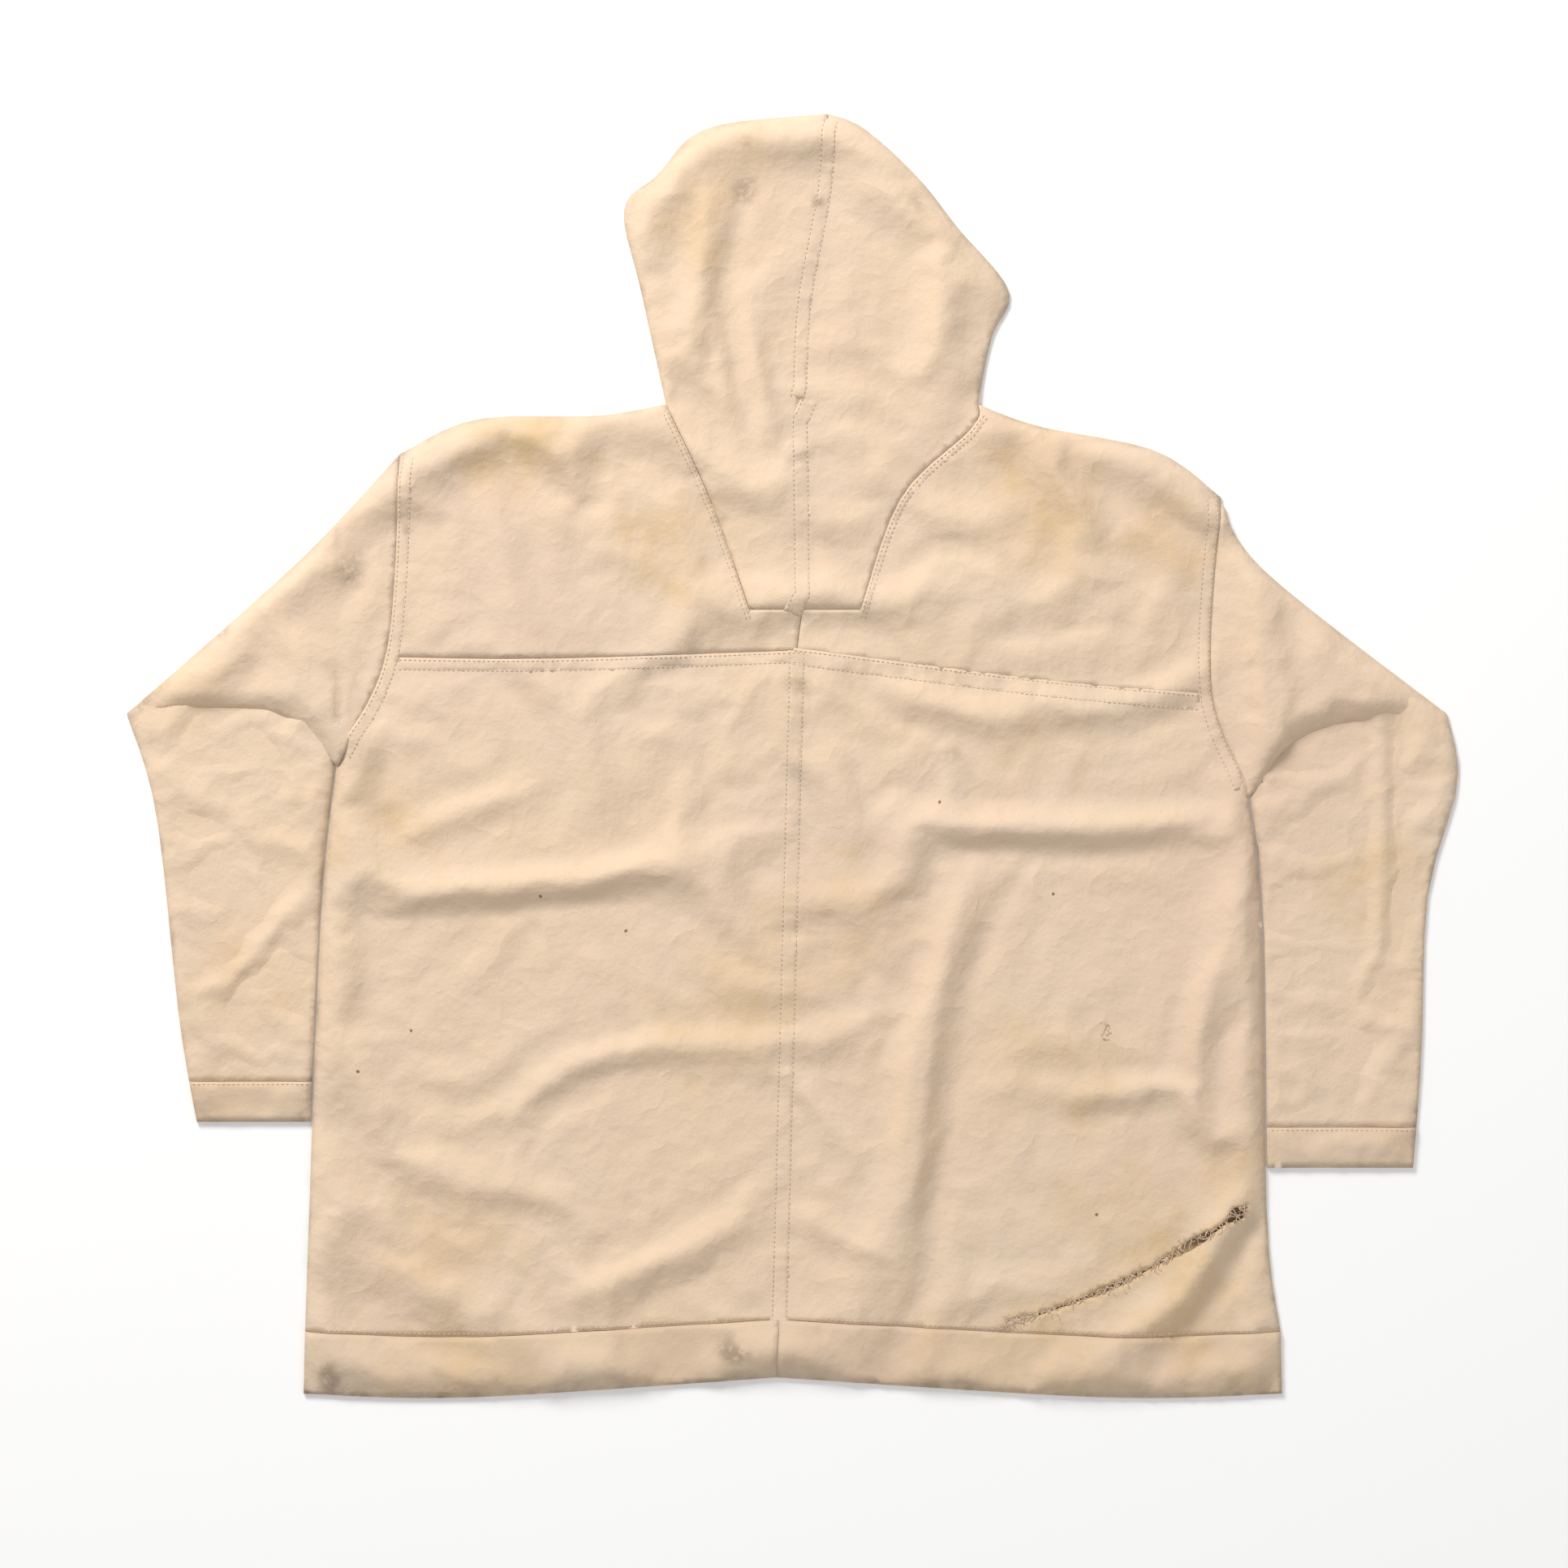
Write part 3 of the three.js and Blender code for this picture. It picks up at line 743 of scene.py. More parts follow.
# %% Front panels and their hem
FRONT_STEP = 7 * MM
FRONT_THICK = 0.8 * MM
FRONT_HEM_THICK = 1.3 * MM
waver = (0.25 * np.abs(soft_noise(30 * MM)) + 0.15) * MM
cloth = {}
for side in BOTH:
    rims = [stepped(outline_of(f"front_{side}"), FRONT_STEP)]
    front = drape(f"front_{side}", rims, waver,
                  lift=FRONT_THICK, thickness=FRONT_THICK, step=FRONT_STEP, dip=0)
    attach(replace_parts(front, f"front_{side}", f"shoulder_seam_{side}"), "torso")
    cloth[front.name] = (front, 1, ["table"])
    rims = [stepped(outline_of(f"hem_front_{side}"))]
    hem = drape(f"hem_front_{side}", rims, waver, lift=FRONT_HEM_THICK, thickness=FRONT_HEM_THICK, dip=0)
    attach(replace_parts(hem, f"hem_front_{side}", f"side_seam_{side}"), "torso")
    cloth[hem.name] = (hem, 1, ["table"])
print("front", len(cloth), "pieces")

# %% [markdown]
# The tear runs up and to the right across the lower right back. A rip like this lies almost
# shut, gapes in places and ends in a small round hole, so its width is a formula along one
# turning path. It is cut out of the panel before the panel is draped, and its lips then lift.

# %% The tear
TEAR_START = on("back_right", 0.45, 0.02)
TEAR_BEARING = 14
TEAR_TURN = 24
TEAR_LENGTH = 200 * MM
LIP_LIFT = 1.4 * MM
LIP_REACH = 8 * MM


def tear_half_width(share):
    """Almost shut at first, gaping in places further up, with a round hole at the far end."""
    slit = 0.5 + 1.9 * share * (1 + np.sin(19 * share))
    hole = 4 * np.exp(-((share - 0.95) / 0.035) ** 2)
    return (slit + hole) * np.clip(np.minimum(share, 1 - share) * 30, 0.3, 1) * MM


tear_path = heading_path(TEAR_START, TEAR_BEARING, TEAR_LENGTH, TEAR_TURN, 80)
tear_half = tear_half_width(np.linspace(0, 1, len(tear_path)))
tear_rim = np.vstack([sideways(tear_path, tear_half), sideways(tear_path, -tear_half)[::-1]])
tear_rim = tear_rim + np.random.default_rng(5).uniform(-0.14, 0.14, tear_rim.shape) * MM


def lift_lips(points, gap):
    far, share = to_path(points[:, :2], tear_path)
    waves = 0.65 + 0.35 * np.sin(share * 31) * np.cos(share * 13 + 1)
    points[:, 2] += LIP_LIFT * waves * np.exp(-(far / LIP_REACH) ** 2)
    return points


print("tear", round(length_of(tear_path) / MM), "mm long")

# %% [markdown]
# The back is cut in four: two yoke halves above and two long panels below. The tongue that
# runs down into the yoke is part of the hood's own panels, so each hood half and its tongue
# are one piece, welded along the neck line.

# %% Back, yoke and hood
UNDER_THICK = 0.9 * MM
FACE_HEM_THICK = 1.4 * MM
bands = {}

for side in BOTH:
    rims = [stepped(outline_of(f"back_{side}"))]
    torn = dict(hole=tear_rim, shape_it=lift_lips) if side == "right" else {}
    back = drape(f"back_{side}", rims, body, **torn)
    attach(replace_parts(back, f"back_{side}"), "torso")
    cloth[back.name] = (back, 1, [f"front_{side}"])
    yoke = drape(f"yoke_{side}", [stepped(outline_of(f"yoke_{side}"))], body)
    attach(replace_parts(yoke, f"yoke_{side}"), "torso")
    cloth[yoke.name] = (yoke, 1, [f"front_{side}"])
    rims = [stepped(outline_of(f"{part}_{side}")) for part in ("hood", "hood_tongue")]
    hood = drape(f"hood_{side}_panel", rims, body)
    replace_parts(hood, f"hood_{side}", f"hood_tongue_{side}", f"hood_edge_{side}")
    cloth[hood.name] = (hood, 1, [f"front_{side}"])
    rims = [stepped(outline_of(f"hood_under_{side}"))]
    under = drape(f"hood_under_{side}_panel", rims, waver, lift=UNDER_THICK, thickness=UNDER_THICK, dip=0)
    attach(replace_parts(under, f"hood_under_{side}"), "hood")
    cloth[under.name] = (under, 1, ["table"])
    rims = [stepped(outline_of(f"face_hem_{side}"))]
    face = drape(f"face_hem_{side}_band", rims, waver, lift=FACE_HEM_THICK, thickness=FACE_HEM_THICK, dip=0)
    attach(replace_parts(face, f"face_hem_{side}"), "hood")
    bands[face.name] = (face, under.name)
print("cloth pieces so far", len(cloth))

# %% [markdown]
# The bottom hem is the panel's own edge turned up twice, so it lies three layers thick: a
# plump band with a hard lower edge. The cuffs are made the same way, but go all round.

# %% Hem, upper sleeves, forearms and cuffs
HEM_THICK = 2.2 * MM
HEM_STAND = 0.9 * MM
CUFF_STAND = 1.2 * MM
CUFF_THICK = 2 * MM
CUFF_UNDER_LIFT = 1.6 * MM
CUFF_UNDER_THICK = 1.5 * MM
FOREARM_UNDER_LIFT = 1.9 * MM
FOREARM_UNDER_THICK = 0.8 * MM
SLEEVE_DIP = 3.6 * MM
CREASE_REACH = 6 * MM


def roll_crease(points, gap):
    """The lower rim of an upper sleeve is a fold, so it rolls over instead of ending sharp."""
    points[:, 2] -= SLEEVE_DIP * np.exp(-(gap / CREASE_REACH) ** 2) * read_map(sleeve_shape, points)
    return points


LAP = 12 * MM
LAP_REACH = 22 * MM
LAP_SEARCH = 8 * MM


def lapped(piece, side):
    """Carries a sleeve's cloth on over the armpit, where three panels would leave a hole."""
    inward = 1 if side == "left" else -1
    rim = outline_of(f"sleeve_top_{side}")
    inner = rim[rim[:, 0] * inward > (rim[:, 0] * inward).max() - LAP_SEARCH]
    armpit = inner[inner[:, 1].argmin()]
    points = points_of(piece.data)
    far = np.hypot(*(points[:, :2] - armpit).T)
    points[:, 1] -= LAP * np.exp(-(far / LAP_REACH) ** 2)
    piece.data.vertices.foreach_set("co", points.astype("f").ravel())
    piece.data.update()
    return piece


for side in BOTH:
    rims = [stepped(outline_of(f"hem_back_{side}"))]
    hem = drape(f"hem_back_{side}", rims, body, lift=HEM_STAND, thickness=HEM_THICK)
    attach(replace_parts(hem, f"hem_back_{side}"), "torso")
    cloth[hem.name] = (hem, 1, [f"hem_front_{side}"])

    rims = [stepped(outline_of(f"{part}_{side}")) for part in ("sleeve_head_top", "sleeve_top")]
    upper = lapped(drape("upper", rims, body, shape_it=roll_crease), side)
    rims = [stepped(outline_of(f"{part}_{side}")) for part in ("sleeve_head_under", "sleeve_under")]
    lower = drape("lower", rims, waver, lift=UNDER_THICK, thickness=UNDER_THICK, dip=0)
    sleeve = joined(f"upper_sleeve_{side}", [upper, lower])
    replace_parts(sleeve, f"sleeve_head_top_{side}", f"sleeve_head_under_{side}",
                f"sleeve_top_{side}", f"sleeve_under_{side}", f"sleeve_edge_{side}")
    cloth[sleeve.name] = (sleeve, 2, ["table"])

    rims = [stepped(outline_of(f"forearm_top_{side}"))]
    upper = drape("upper", rims, forearm)
    lower = drape("lower", rims, waver, lift=FOREARM_UNDER_LIFT, thickness=FOREARM_UNDER_THICK, dip=0)
    arm = joined(f"forearm_{side}", [upper, lower])
    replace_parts(arm, f"forearm_top_{side}", f"forearm_under_{side}",
                f"forearm_edge_{side}", f"forearm_seam_{side}")
    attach(arm, f"{side}_forearm")
    cloth[arm.name] = (arm, 2, ["table"])

    rims = [stepped(outline_of(f"cuff_{side}"))]
    upper = drape("upper", rims, forearm, lift=CUFF_STAND, thickness=CUFF_THICK)
    lower = drape("lower", rims, waver, lift=CUFF_UNDER_LIFT, thickness=CUFF_UNDER_THICK, dip=0)
    cuff = joined(f"cuff_{side}_band", [upper, lower])
    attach(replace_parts(cuff, f"cuff_{side}"), f"{side}_forearm")
    cloth[cuff.name] = (cuff, 2, ["table"])
print("cloth pieces", len(cloth))

# %% [markdown]
# Each felled seam is a low strip over the panels it joins. It runs along the middle line of
# its CAD strip, a little past both ends so that it meets the next seam, and its edges sink
# into the panel, so only a soft step shows.

# %% Felled seams
FELL_STAND = 0.24 * MM
FELL_THICK = 0.8 * MM
FELL_STEP = 3.2 * MM
FELL_DIP = 0.5 * MM
felled = {}


def longer(line, before, after):
    """The line carried straight on past both ends."""
    start = line[0] - (line[3] - line[0]) / np.hypot(*(line[3] - line[0])) * before
    end = line[-1] + (line[-1] - line[-4]) / np.hypot(*(line[-1] - line[-4])) * after
    return np.vstack([start, line, end])


def fell(node, before, after, owner, panel):
    line, half = spines[node]
    line = along(longer(line, before, after), 80)
    spines[node] = (line, half)
    rim = stepped(np.vstack([sideways(line, -half), sideways(line, half)[::-1]]), FELL_STEP)
    strip = drape(node.replace("felling", "fell"), [rim], body, lift=FELL_STAND, thickness=FELL_THICK,
                  step=FELL_STEP, dip=FELL_DIP)
    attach(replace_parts(strip, node), owner)
    felled[strip.name] = (strip, panel)


fell("centre_back_felling", 26 * MM, 24 * MM, "torso", "back_left")
fell("hood_centre_felling", 6 * MM, 6 * MM, "hood", "hood_left_panel")
fell("tongue_centre_felling", 13 * MM, 13 * MM, "torso", "yoke_left")
for side in BOTH:
    fell(f"yoke_felling_{side}", 17 * MM, 20 * MM, "torso", f"back_{side}")
    fell(f"armhole_felling_{side}", 12 * MM, 10 * MM, "torso", f"yoke_{side}")
    fell(f"tongue_felling_{side}", 11 * MM, 8 * MM, "torso", f"yoke_{side}")
print("felled seams", len(felled))

# %% [markdown]
# Topstitching is what makes a seam read as sewn. Every stitch is a small real bead of thread,
# pressed into the canvas at both ends. Thousands of separate objects would be slow, so each
# row of beads is written into one mesh, with a little random turn and length to each.

# %% Stitches along every seam
STITCH_PITCH = 3.6 * MM
STITCH_LENGTH = 2.7 * MM
STITCH_WIDTH = 0.75 * MM
STITCH_HEIGHT = 0.45 * MM
BEAD = [(-0.5, 0, -0.6), (-0.3, 0.5, 0), (0, 0.5, 0.1), (0.3, 0.5, 0), (0.5, 0, -0.6),
        (0.3, -0.5, 0), (0, -0.5, 0.1), (-0.3, -0.5, 0), (-0.25, 0, 0.9), (0, 0, 1), (0.25, 0, 0.9)]
BEAD_FACES = [(0, 8, 1), (0, 7, 8), (1, 8, 9, 2), (2, 9, 10, 3), (3, 10, 4), (4, 10, 5),
              (5, 10, 9, 6), (6, 9, 8, 7)]
needle = random.Random(3)


def stitch_row(line, field, lift):
    """Places of the stitches on one line, as points and faces."""
    count = max(int(length_of(line) / STITCH_PITCH), 2)
    spots = along(line, count * 2 + 1)
    heights = read_map(field, spots) + lift
    points, faces = [], []
    for k in range(1, len(spots) - 1, 2):
        ahead = spots[k + 1] - spots[k - 1]
        turn = math.atan2(ahead[1], ahead[0]) + needle.gauss(0, 0.07)
        size = STITCH_LENGTH * needle.uniform(0.88, 1.1)
        rise = (heights[k + 1] - heights[k - 1]) / np.hypot(*ahead)
        first = len(points)
        for a, b, c in BEAD:
            x = a * size * math.cos(turn) - b * STITCH_WIDTH * math.sin(turn)
            y = a * size * math.sin(turn) + b * STITCH_WIDTH * math.cos(turn)
            z = heights[k] + a * size * rise + c * STITCH_HEIGHT
            points.append((spots[k][0] + x, spots[k][1] + y, z))
        faces += [tuple(first + i for i in reversed(face)) for face in BEAD_FACES]
    return points, faces


def stitches(name, rows, field, lift, body_name):
    points, faces = [], []
    for row in rows:
        p, f = stitch_row(row, field, lift)
        faces += [tuple(len(points) + i for i in face) for face in f]
        points += p
    mesh = bpy.data.meshes.new(name)
    mesh.from_pydata(points, [], faces)
    mesh.polygons.foreach_set("use_smooth", [True] * len(mesh.polygons))
    piece = new_object(name, mesh)
    if body_name:
        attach(piece, body_name)
    return piece


sewn = {}
ON_FELL = FELL_STAND + 0.1 * MM
for name in SEAMS:
    line, half = spines[name]
    if name.startswith("hem_stitching"):
        sewn[name] = stitches(name + "_row", [line], body, 0.25 * MM, "torso")
        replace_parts(sewn[name], name)
        continue
    inner = half - 1.7 * MM
    rows = [sideways(line, inner), sideways(line, -inner)]
    owner = "hood" if name.startswith("hood") else "torso"
    sewn[name] = stitches(name + "_rows", rows, body, ON_FELL, owner)

for side in BOTH:
    top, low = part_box(f"cuff_{side}")[1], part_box(f"cuff_{side}")[0]
    rim = outline_of(f"cuff_{side}")
    upper_edge = np.array([p for p in rim if p[1] > (top.y + low.y) / 2])
    ends = upper_edge[[upper_edge[:, 0].argmin(), upper_edge[:, 0].argmax()]]
    row = along(ends, 40) - [0, 1.8 * MM]
    inset = (ends[1] - ends[0]) * 0.02
    row = along(np.array([row[0] + inset, row[-1] - inset]), 40)
    lift = CUFF_STAND + 0.1 * MM
    sewn[f"cuff_{side}"] = stitches(f"cuff_stitching_{side}", [row], forearm, lift, f"{side}_forearm")
print("stitches", sum(len(s.data.polygons) for s in sewn.values()) // len(BEAD_FACES))

# %% [markdown]
# Torn canvas frays: the threads that ran across the cut now stand out of it, bent and of all
# lengths, thickest where the rip stopped. Each is a thin tube that starts inside the cloth and
# wanders over the gap.

# %% Frayed threads of the tear
FRAY_COUNT = 340
FRAY_RADIUS = 0.33 * MM
FRAY_SIDES = 5
FRAY_STEPS = 6
HOLE_PLACE = on("back_right", 0.65, 0.45)
HOLE_THREADS = 12
fray = random.Random(8)


def tube(points, faces, path, radius):
    first = len(points)
    for k, spot in enumerate(path):
        ahead = (path[min(k + 1, len(path) - 1)] - path[max(k - 1, 0)]).normalized()
        side = ahead.cross(Vector((0, 0, 1)))
        side = side.normalized() if side.length > 1e-6 else Vector((1, 0, 0))
        up = side.cross(ahead)
        thin = radius * (1 - 0.5 * k / len(path))
        for s in range(FRAY_SIDES):
            turn = 2 * math.pi * s / FRAY_SIDES
            points.append(spot + side * thin * math.cos(turn) + up * thin * math.sin(turn))
    for k in range(len(path) - 1):
        for s in range(FRAY_SIDES):
            a, b = first + k * FRAY_SIDES + s, first + k * FRAY_SIDES + (s + 1) % FRAY_SIDES
            faces.append((a, b, b + FRAY_SIDES, a + FRAY_SIDES))
    faces.append(tuple(first + s for s in reversed(range(FRAY_SIDES))))
    faces.append(tuple(len(points) - FRAY_SIDES + s for s in range(FRAY_SIDES)))


def loose_thread(start, turn, length, height):
    """A thread that leaves the cloth at a point and wanders."""
    path, place = [], Vector((*start, height))
    bend = fray.gauss(0, 0.25)
    for _ in range(FRAY_STEPS + 1):
        path.append(place.copy())
        turn += bend + fray.gauss(0, 0.25)
        rise = fray.uniform(-0.25, 0.3)
        place = place + Vector((math.cos(turn), math.sin(turn), rise)) * (length / FRAY_STEPS)
    return path


fray_points, fray_faces = [], []
lip = np.vstack([tear_rim, tear_rim[:1]])
for _ in range(FRAY_COUNT):
    share = fray.random() if fray.random() < 0.72 else abs(fray.gauss(0, 0.06))
    spot = tear_path[min(int(share * (len(tear_path) - 1)), len(tear_path) - 1)]
    start = lip[np.hypot(*(lip - spot - [fray.gauss(0, 3 * MM), fray.gauss(0, 3 * MM)]).T).argmin()]
    inward = tear_path[np.hypot(*(tear_path - start).T).argmin()] - start
    turn = math.atan2(inward[1], inward[0]) + fray.gauss(0, 0.8)
    height = float(read_map(body, np.array([start]))[0]) + LIP_LIFT * 0.5
    path = loose_thread(start, turn, fray.uniform(3, 9) * MM, height)
    tube(fray_points, fray_faces, path, FRAY_RADIUS)
for _ in range(HOLE_THREADS):
    start = HOLE_PLACE + [fray.gauss(0, 1.5 * MM), fray.gauss(0, 4 * MM)]
    height = float(read_map(body, np.array([start]))[0]) + 0.3 * MM
    path = loose_thread(start, fray.uniform(0, 2 * math.pi), fray.uniform(3, 7) * MM, height)
    tube(fray_points, fray_faces, path, FRAY_RADIUS)
fray_mesh = bpy.data.meshes.new("tear_threads")
fray_mesh.from_pydata([tuple(p) for p in fray_points], [], fray_faces)
fray_mesh.polygons.foreach_set("use_smooth", [True] * len(fray_mesh.polygons))
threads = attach(new_object("tear_threads", fray_mesh), "torso")
print("frayed threads", len(fray_faces) // (FRAY_STEPS * FRAY_SIDES + 2))

# %% [markdown]
# Cloth that crosses a joint would bend with it: the hood halves along the neck, and each upper
# sleeve along the line it folds over the back on. Here their placement is only baked into their
# points and their names are gathered; nothing makes them bend.

# %% Cloth that crosses the joints
bending = set()
for side in BOTH:
    hood = cloth[f"hood_{side}_panel"][0]
    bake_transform(hood)
    low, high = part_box(f"sleeve_top_{side}")
    sleeve = cloth[f"upper_sleeve_{side}"][0]
    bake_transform(sleeve)
    bending.update([hood.name, sleeve.name])
print("bending pieces", len(bending))

# %% [markdown]
# Stains belong to places on the cloth, so they are height-map-like masks too: each is a soft
# blot with a ragged rim, laid where the cloth was wetted, leaned on or scorched, and written
# to the mesh as a named value per point. The material then reads that value and breaks it up
# with finer noise. One more map is no stain: it marks the hollows of the creases, where the
# material greys the cloth as painted shade.

# %% Where the canvas is stained, and where crease shade is painted
YELLOW_BLOTS = [
    ("yoke_left", 0.35, 0.85, 50, 0.7), ("yoke_left", 0.7, 0.5, 35, 0.7),
    ("yoke_right", 0.6, 0.65, 45, 0.65), ("yoke_right", 0.9, 0.55, 30, 0.7),
    ("back_left", 0.9, 0.5, 55, 0.55), ("back_left", 0.1, 0.75, 45, 0.5),
    ("back_left", 0.3, 0.1, 50, 0.45), ("back_right", 0.15, 0.6, 45, 0.5),
    ("back_right", 0.5, 0.85, 35, 0.55), ("back_right", 0.55, 0.4, 55, 0.4),
    ("back_right", 0.75, 0.1, 65, 0.8), ("back_right", 0.9, 0.2, 40, 0.6),
    ("hem_back_left", 0.3, 0.5, 50, 0.5), ("hem_back_right", 0.5, 0.5, 60, 0.55),
    ("hood_left", 0.4, 0.7, 45, 0.45), ("forearm_top_right", 0.6, 0.5, 40, 0.5),
    ("forearm_top_left", 0.5, 0.2, 35, 0.4), ("sleeve_top_left", 0.3, 0.3, 30, 0.4),
]
DARK_BLOTS = [
    ("sleeve_top_left", 0.45, 0.55, 6, 0.7), ("sleeve_head_top_left", 0.2, 0.6, 12, 0.5),
    ("yoke_left", 0.05, 0.5, 5, 0.6), ("yoke_left", 0.8, 0.55, 5, 0.6),
    ("hood_left", 0.95, 0.7, 5, 0.9), ("hood_left", 0.6, 0.75, 6, 0.5),
    ("hood_left", 0.6, 0.9, 6, 0.5), ("hood_right", 0.55, 0.7, 6, 0.5),
    ("hood_right", 0.75, 0.55, 6, 0.5), ("back_right", 0.05, 0.95, 8, 0.5),
    ("back_right", 0.35, 0.85, 7, 0.4), ("back_right", 0.65, 0.45, 5, 0.5),
    ("hem_back_left", 0.9, 0.6, 8, 0.8), ("hem_back_left", 0.05, 0.3, 7, 0.8),
]
RUST_COUNT = 7
sprinkle = random.Random(12)
RUST_DOTS = [on(f"back_{BOTH[k % 2]}", sprinkle.uniform(0.1, 0.9), sprinkle.uniform(0.05, 0.95))
             for k in range(RUST_COUNT)]
HEM_GRIME = 0.7


def blots(places):
    field = np.zeros(X.shape)
    ragged = soft_noise(5 * MM) * 0.16 + soft_noise(12 * MM) * 0.22
    for piece, across, up, radius, strength in places:
        x, y = on(piece, across, up)
        gap = np.hypot(X - x, Y - y) / (radius * MM)
        spot = strength * np.clip(1.35 - gap + ragged * (1 if radius > 10 else 2), 0, 1)
        field = np.maximum(field, spot)
    return field


yellow_map = blots(YELLOW_BLOTS) * (0.75 + 0.25 * soft_noise(10 * MM))
dark_map = blots(DARK_BLOTS)
TEAR_STAIN = 6 * MM
tear_gap, _ = to_path(np.stack([X.ravel(), Y.ravel()], axis=1), tear_path[::4])
yellow_map = np.maximum(yellow_map, np.exp(-(tear_gap.reshape(X.shape) / TEAR_STAIN) ** 2))
fullest = np.maximum(swell(body_shape), swell(forearm_shape))
rim_soil = np.clip(1 - fullest * 3.2, 0, 1) * np.clip(0.5 + 0.5 * soft_noise(9 * MM), 0, 1)
low_hem = np.exp(-np.clip(Y - cad_low.y, 0, None) / (17 * MM))
grime_map = np.clip(HEM_GRIME * rim_soil + 0.5 * low_hem * (0.4 + 0.6 * np.abs(soft_noise(7 * MM))), 0, 1)
seam_map = np.zeros(X.shape)
for line, half in spines.values():
    near, gap, _ = close_to(line, 12 * MM)
    seam_map[near] = np.maximum(seam_map[near], np.exp(-np.clip(gap - half, 0, None) / (2.5 * MM)))
# Painted shade: this map is highest in the hollows of the creases, where the cloth lies below its
# surroundings, and the material greys the colour there.
hollow_shade_map = np.clip((blurred(body, 6 * MM) - body) / (1.2 * MM), -1, 1)


def write_mask(piece, name, field):
    values = read_map(field, points_of(piece.data))
    layer = piece.data.attributes.new(name, "FLOAT", "POINT")
    layer.data.foreach_set("value", values.astype("f"))


bands.update(felled)
masks = {"yellow": yellow_map, "dark": dark_map, "grime": grime_map, "seam": seam_map, "hollow": hollow_shade_map}
every_canvas = [entry[0] for entry in [*cloth.values(), *bands.values()]]
for piece in every_canvas:
    for name, field in masks.items():
        write_mask(piece, name, field)
print("stain masks written to", len(every_canvas), "pieces")

# %% [markdown]
# Canvas up close is a plain weave: threads cross over and under each other like a
# chessboard, and now and then one is thicker. The group below works that out from the place
# on the cloth, so no flat layout of the panels is needed, and it gives out a height for
# bump and a tone for colour.

# %% Shader group: the weave
THREAD_PITCH = 1.05 * MM


def shader_group(name, inputs, outputs):
    group = bpy.data.node_groups.new(name, "ShaderNodeTree")
    for label, kind, value in inputs:
        socket = group.interface.new_socket(label, in_out="INPUT", socket_type=kind)
        if value is not None:
            socket.default_value = value
    for label, kind in outputs:
        group.interface.new_socket(label, in_out="OUTPUT", socket_type=kind)
    start = group.nodes.new("NodeGroupInput")
    end = group.nodes.new("NodeGroupOutput")
    return group, start.outputs, end.inputs


class Wires:
    """Short ways to add nodes to a tree."""

    def __init__(self, tree):
        self.tree = tree

    def feed(self, socket, value):
        if isinstance(value, bpy.types.NodeSocket):
            self.tree.links.new(value, socket)
        else:
            socket.default_value = value

    def maths(self, what, a, b=0.0, clamp=False):
        node = self.tree.nodes.new("ShaderNodeMath")
        node.operation = what
        node.use_clamp = clamp
        self.feed(node.inputs[0], a)
        self.feed(node.inputs[1], b)
        return node.outputs[0]

    def noise(self, place, scale, detail=3.0, roughness=0.55):
        node = self.tree.nodes.new("ShaderNodeTexNoise")
        self.feed(node.inputs["Vector"], place)
        self.feed(node.inputs["Scale"], scale)
        node.inputs["Detail"].default_value = detail
        node.inputs["Roughness"].default_value = roughness
        return node.outputs["Fac"]

    def spread(self, value, low, high, to_low=0.0, to_high=1.0):
        node = self.tree.nodes.new("ShaderNodeMapRange")
        node.interpolation_type = "SMOOTHSTEP"
        self.feed(node.inputs["Value"], value)
        for label, number in zip(("From Min", "From Max", "To Min", "To Max"), (low, high, to_low, to_high)):
            self.feed(node.inputs[label], number)
        return node.outputs["Result"]

    def mix(self, share, a, b, blend="MIX"):
        node = self.tree.nodes.new("ShaderNodeMix")
        node.data_type = "RGBA"
        node.blend_type = blend
        self.feed(node.inputs[0], share)
        self.feed(node.inputs[6], a)
        self.feed(node.inputs[7], b)
        return node.outputs[2]

    def mask(self, name):
        node = self.tree.nodes.new("ShaderNodeAttribute")
        node.attribute_name = name
        return node.outputs["Fac"]

    def place(self, group, **values):
        node = self.tree.nodes.new("ShaderNodeGroup")
        node.node_tree = group
        for label, value in values.items():
            self.feed(node.inputs[label.replace("_", " ")], value)
        return node.outputs


weave, given, wanted = shader_group(
    "canvas_weave",
    [("Place", "NodeSocketVector", None), ("Pitch", "NodeSocketFloat", THREAD_PITCH),
     ("Slub", "NodeSocketFloat", 0.5)],
    [("Height", "NodeSocketFloat"), ("Tone", "NodeSocketFloat")])
w = Wires(weave)
split = weave.nodes.new("ShaderNodeSeparateXYZ")
w.feed(split.inputs[0], given["Place"])
turns = w.maths("DIVIDE", math.pi, given["Pitch"])
drift = w.maths("MULTIPLY", w.noise(given["Place"], 55.0, 2.0), 9.0)
warp = w.maths("SINE", w.maths("ADD", w.maths("MULTIPLY", split.outputs[0], turns), drift))
weft = w.maths("SINE", w.maths("ADD", w.maths("MULTIPLY", split.outputs[1], turns), drift))
crossing = w.maths("MULTIPLY", warp, weft)
thick = w.maths("MULTIPLY", w.spread(w.noise(given["Place"], 260.0, 4.0), 0.35, 0.7), given["Slub"])
w.feed(wanted["Height"], w.maths("ADD", w.maths("MULTIPLY", crossing, 0.5), thick))
w.feed(wanted["Tone"], w.spread(w.maths("ADD", crossing, thick), -1.0, 1.2))
print("group", weave.name)
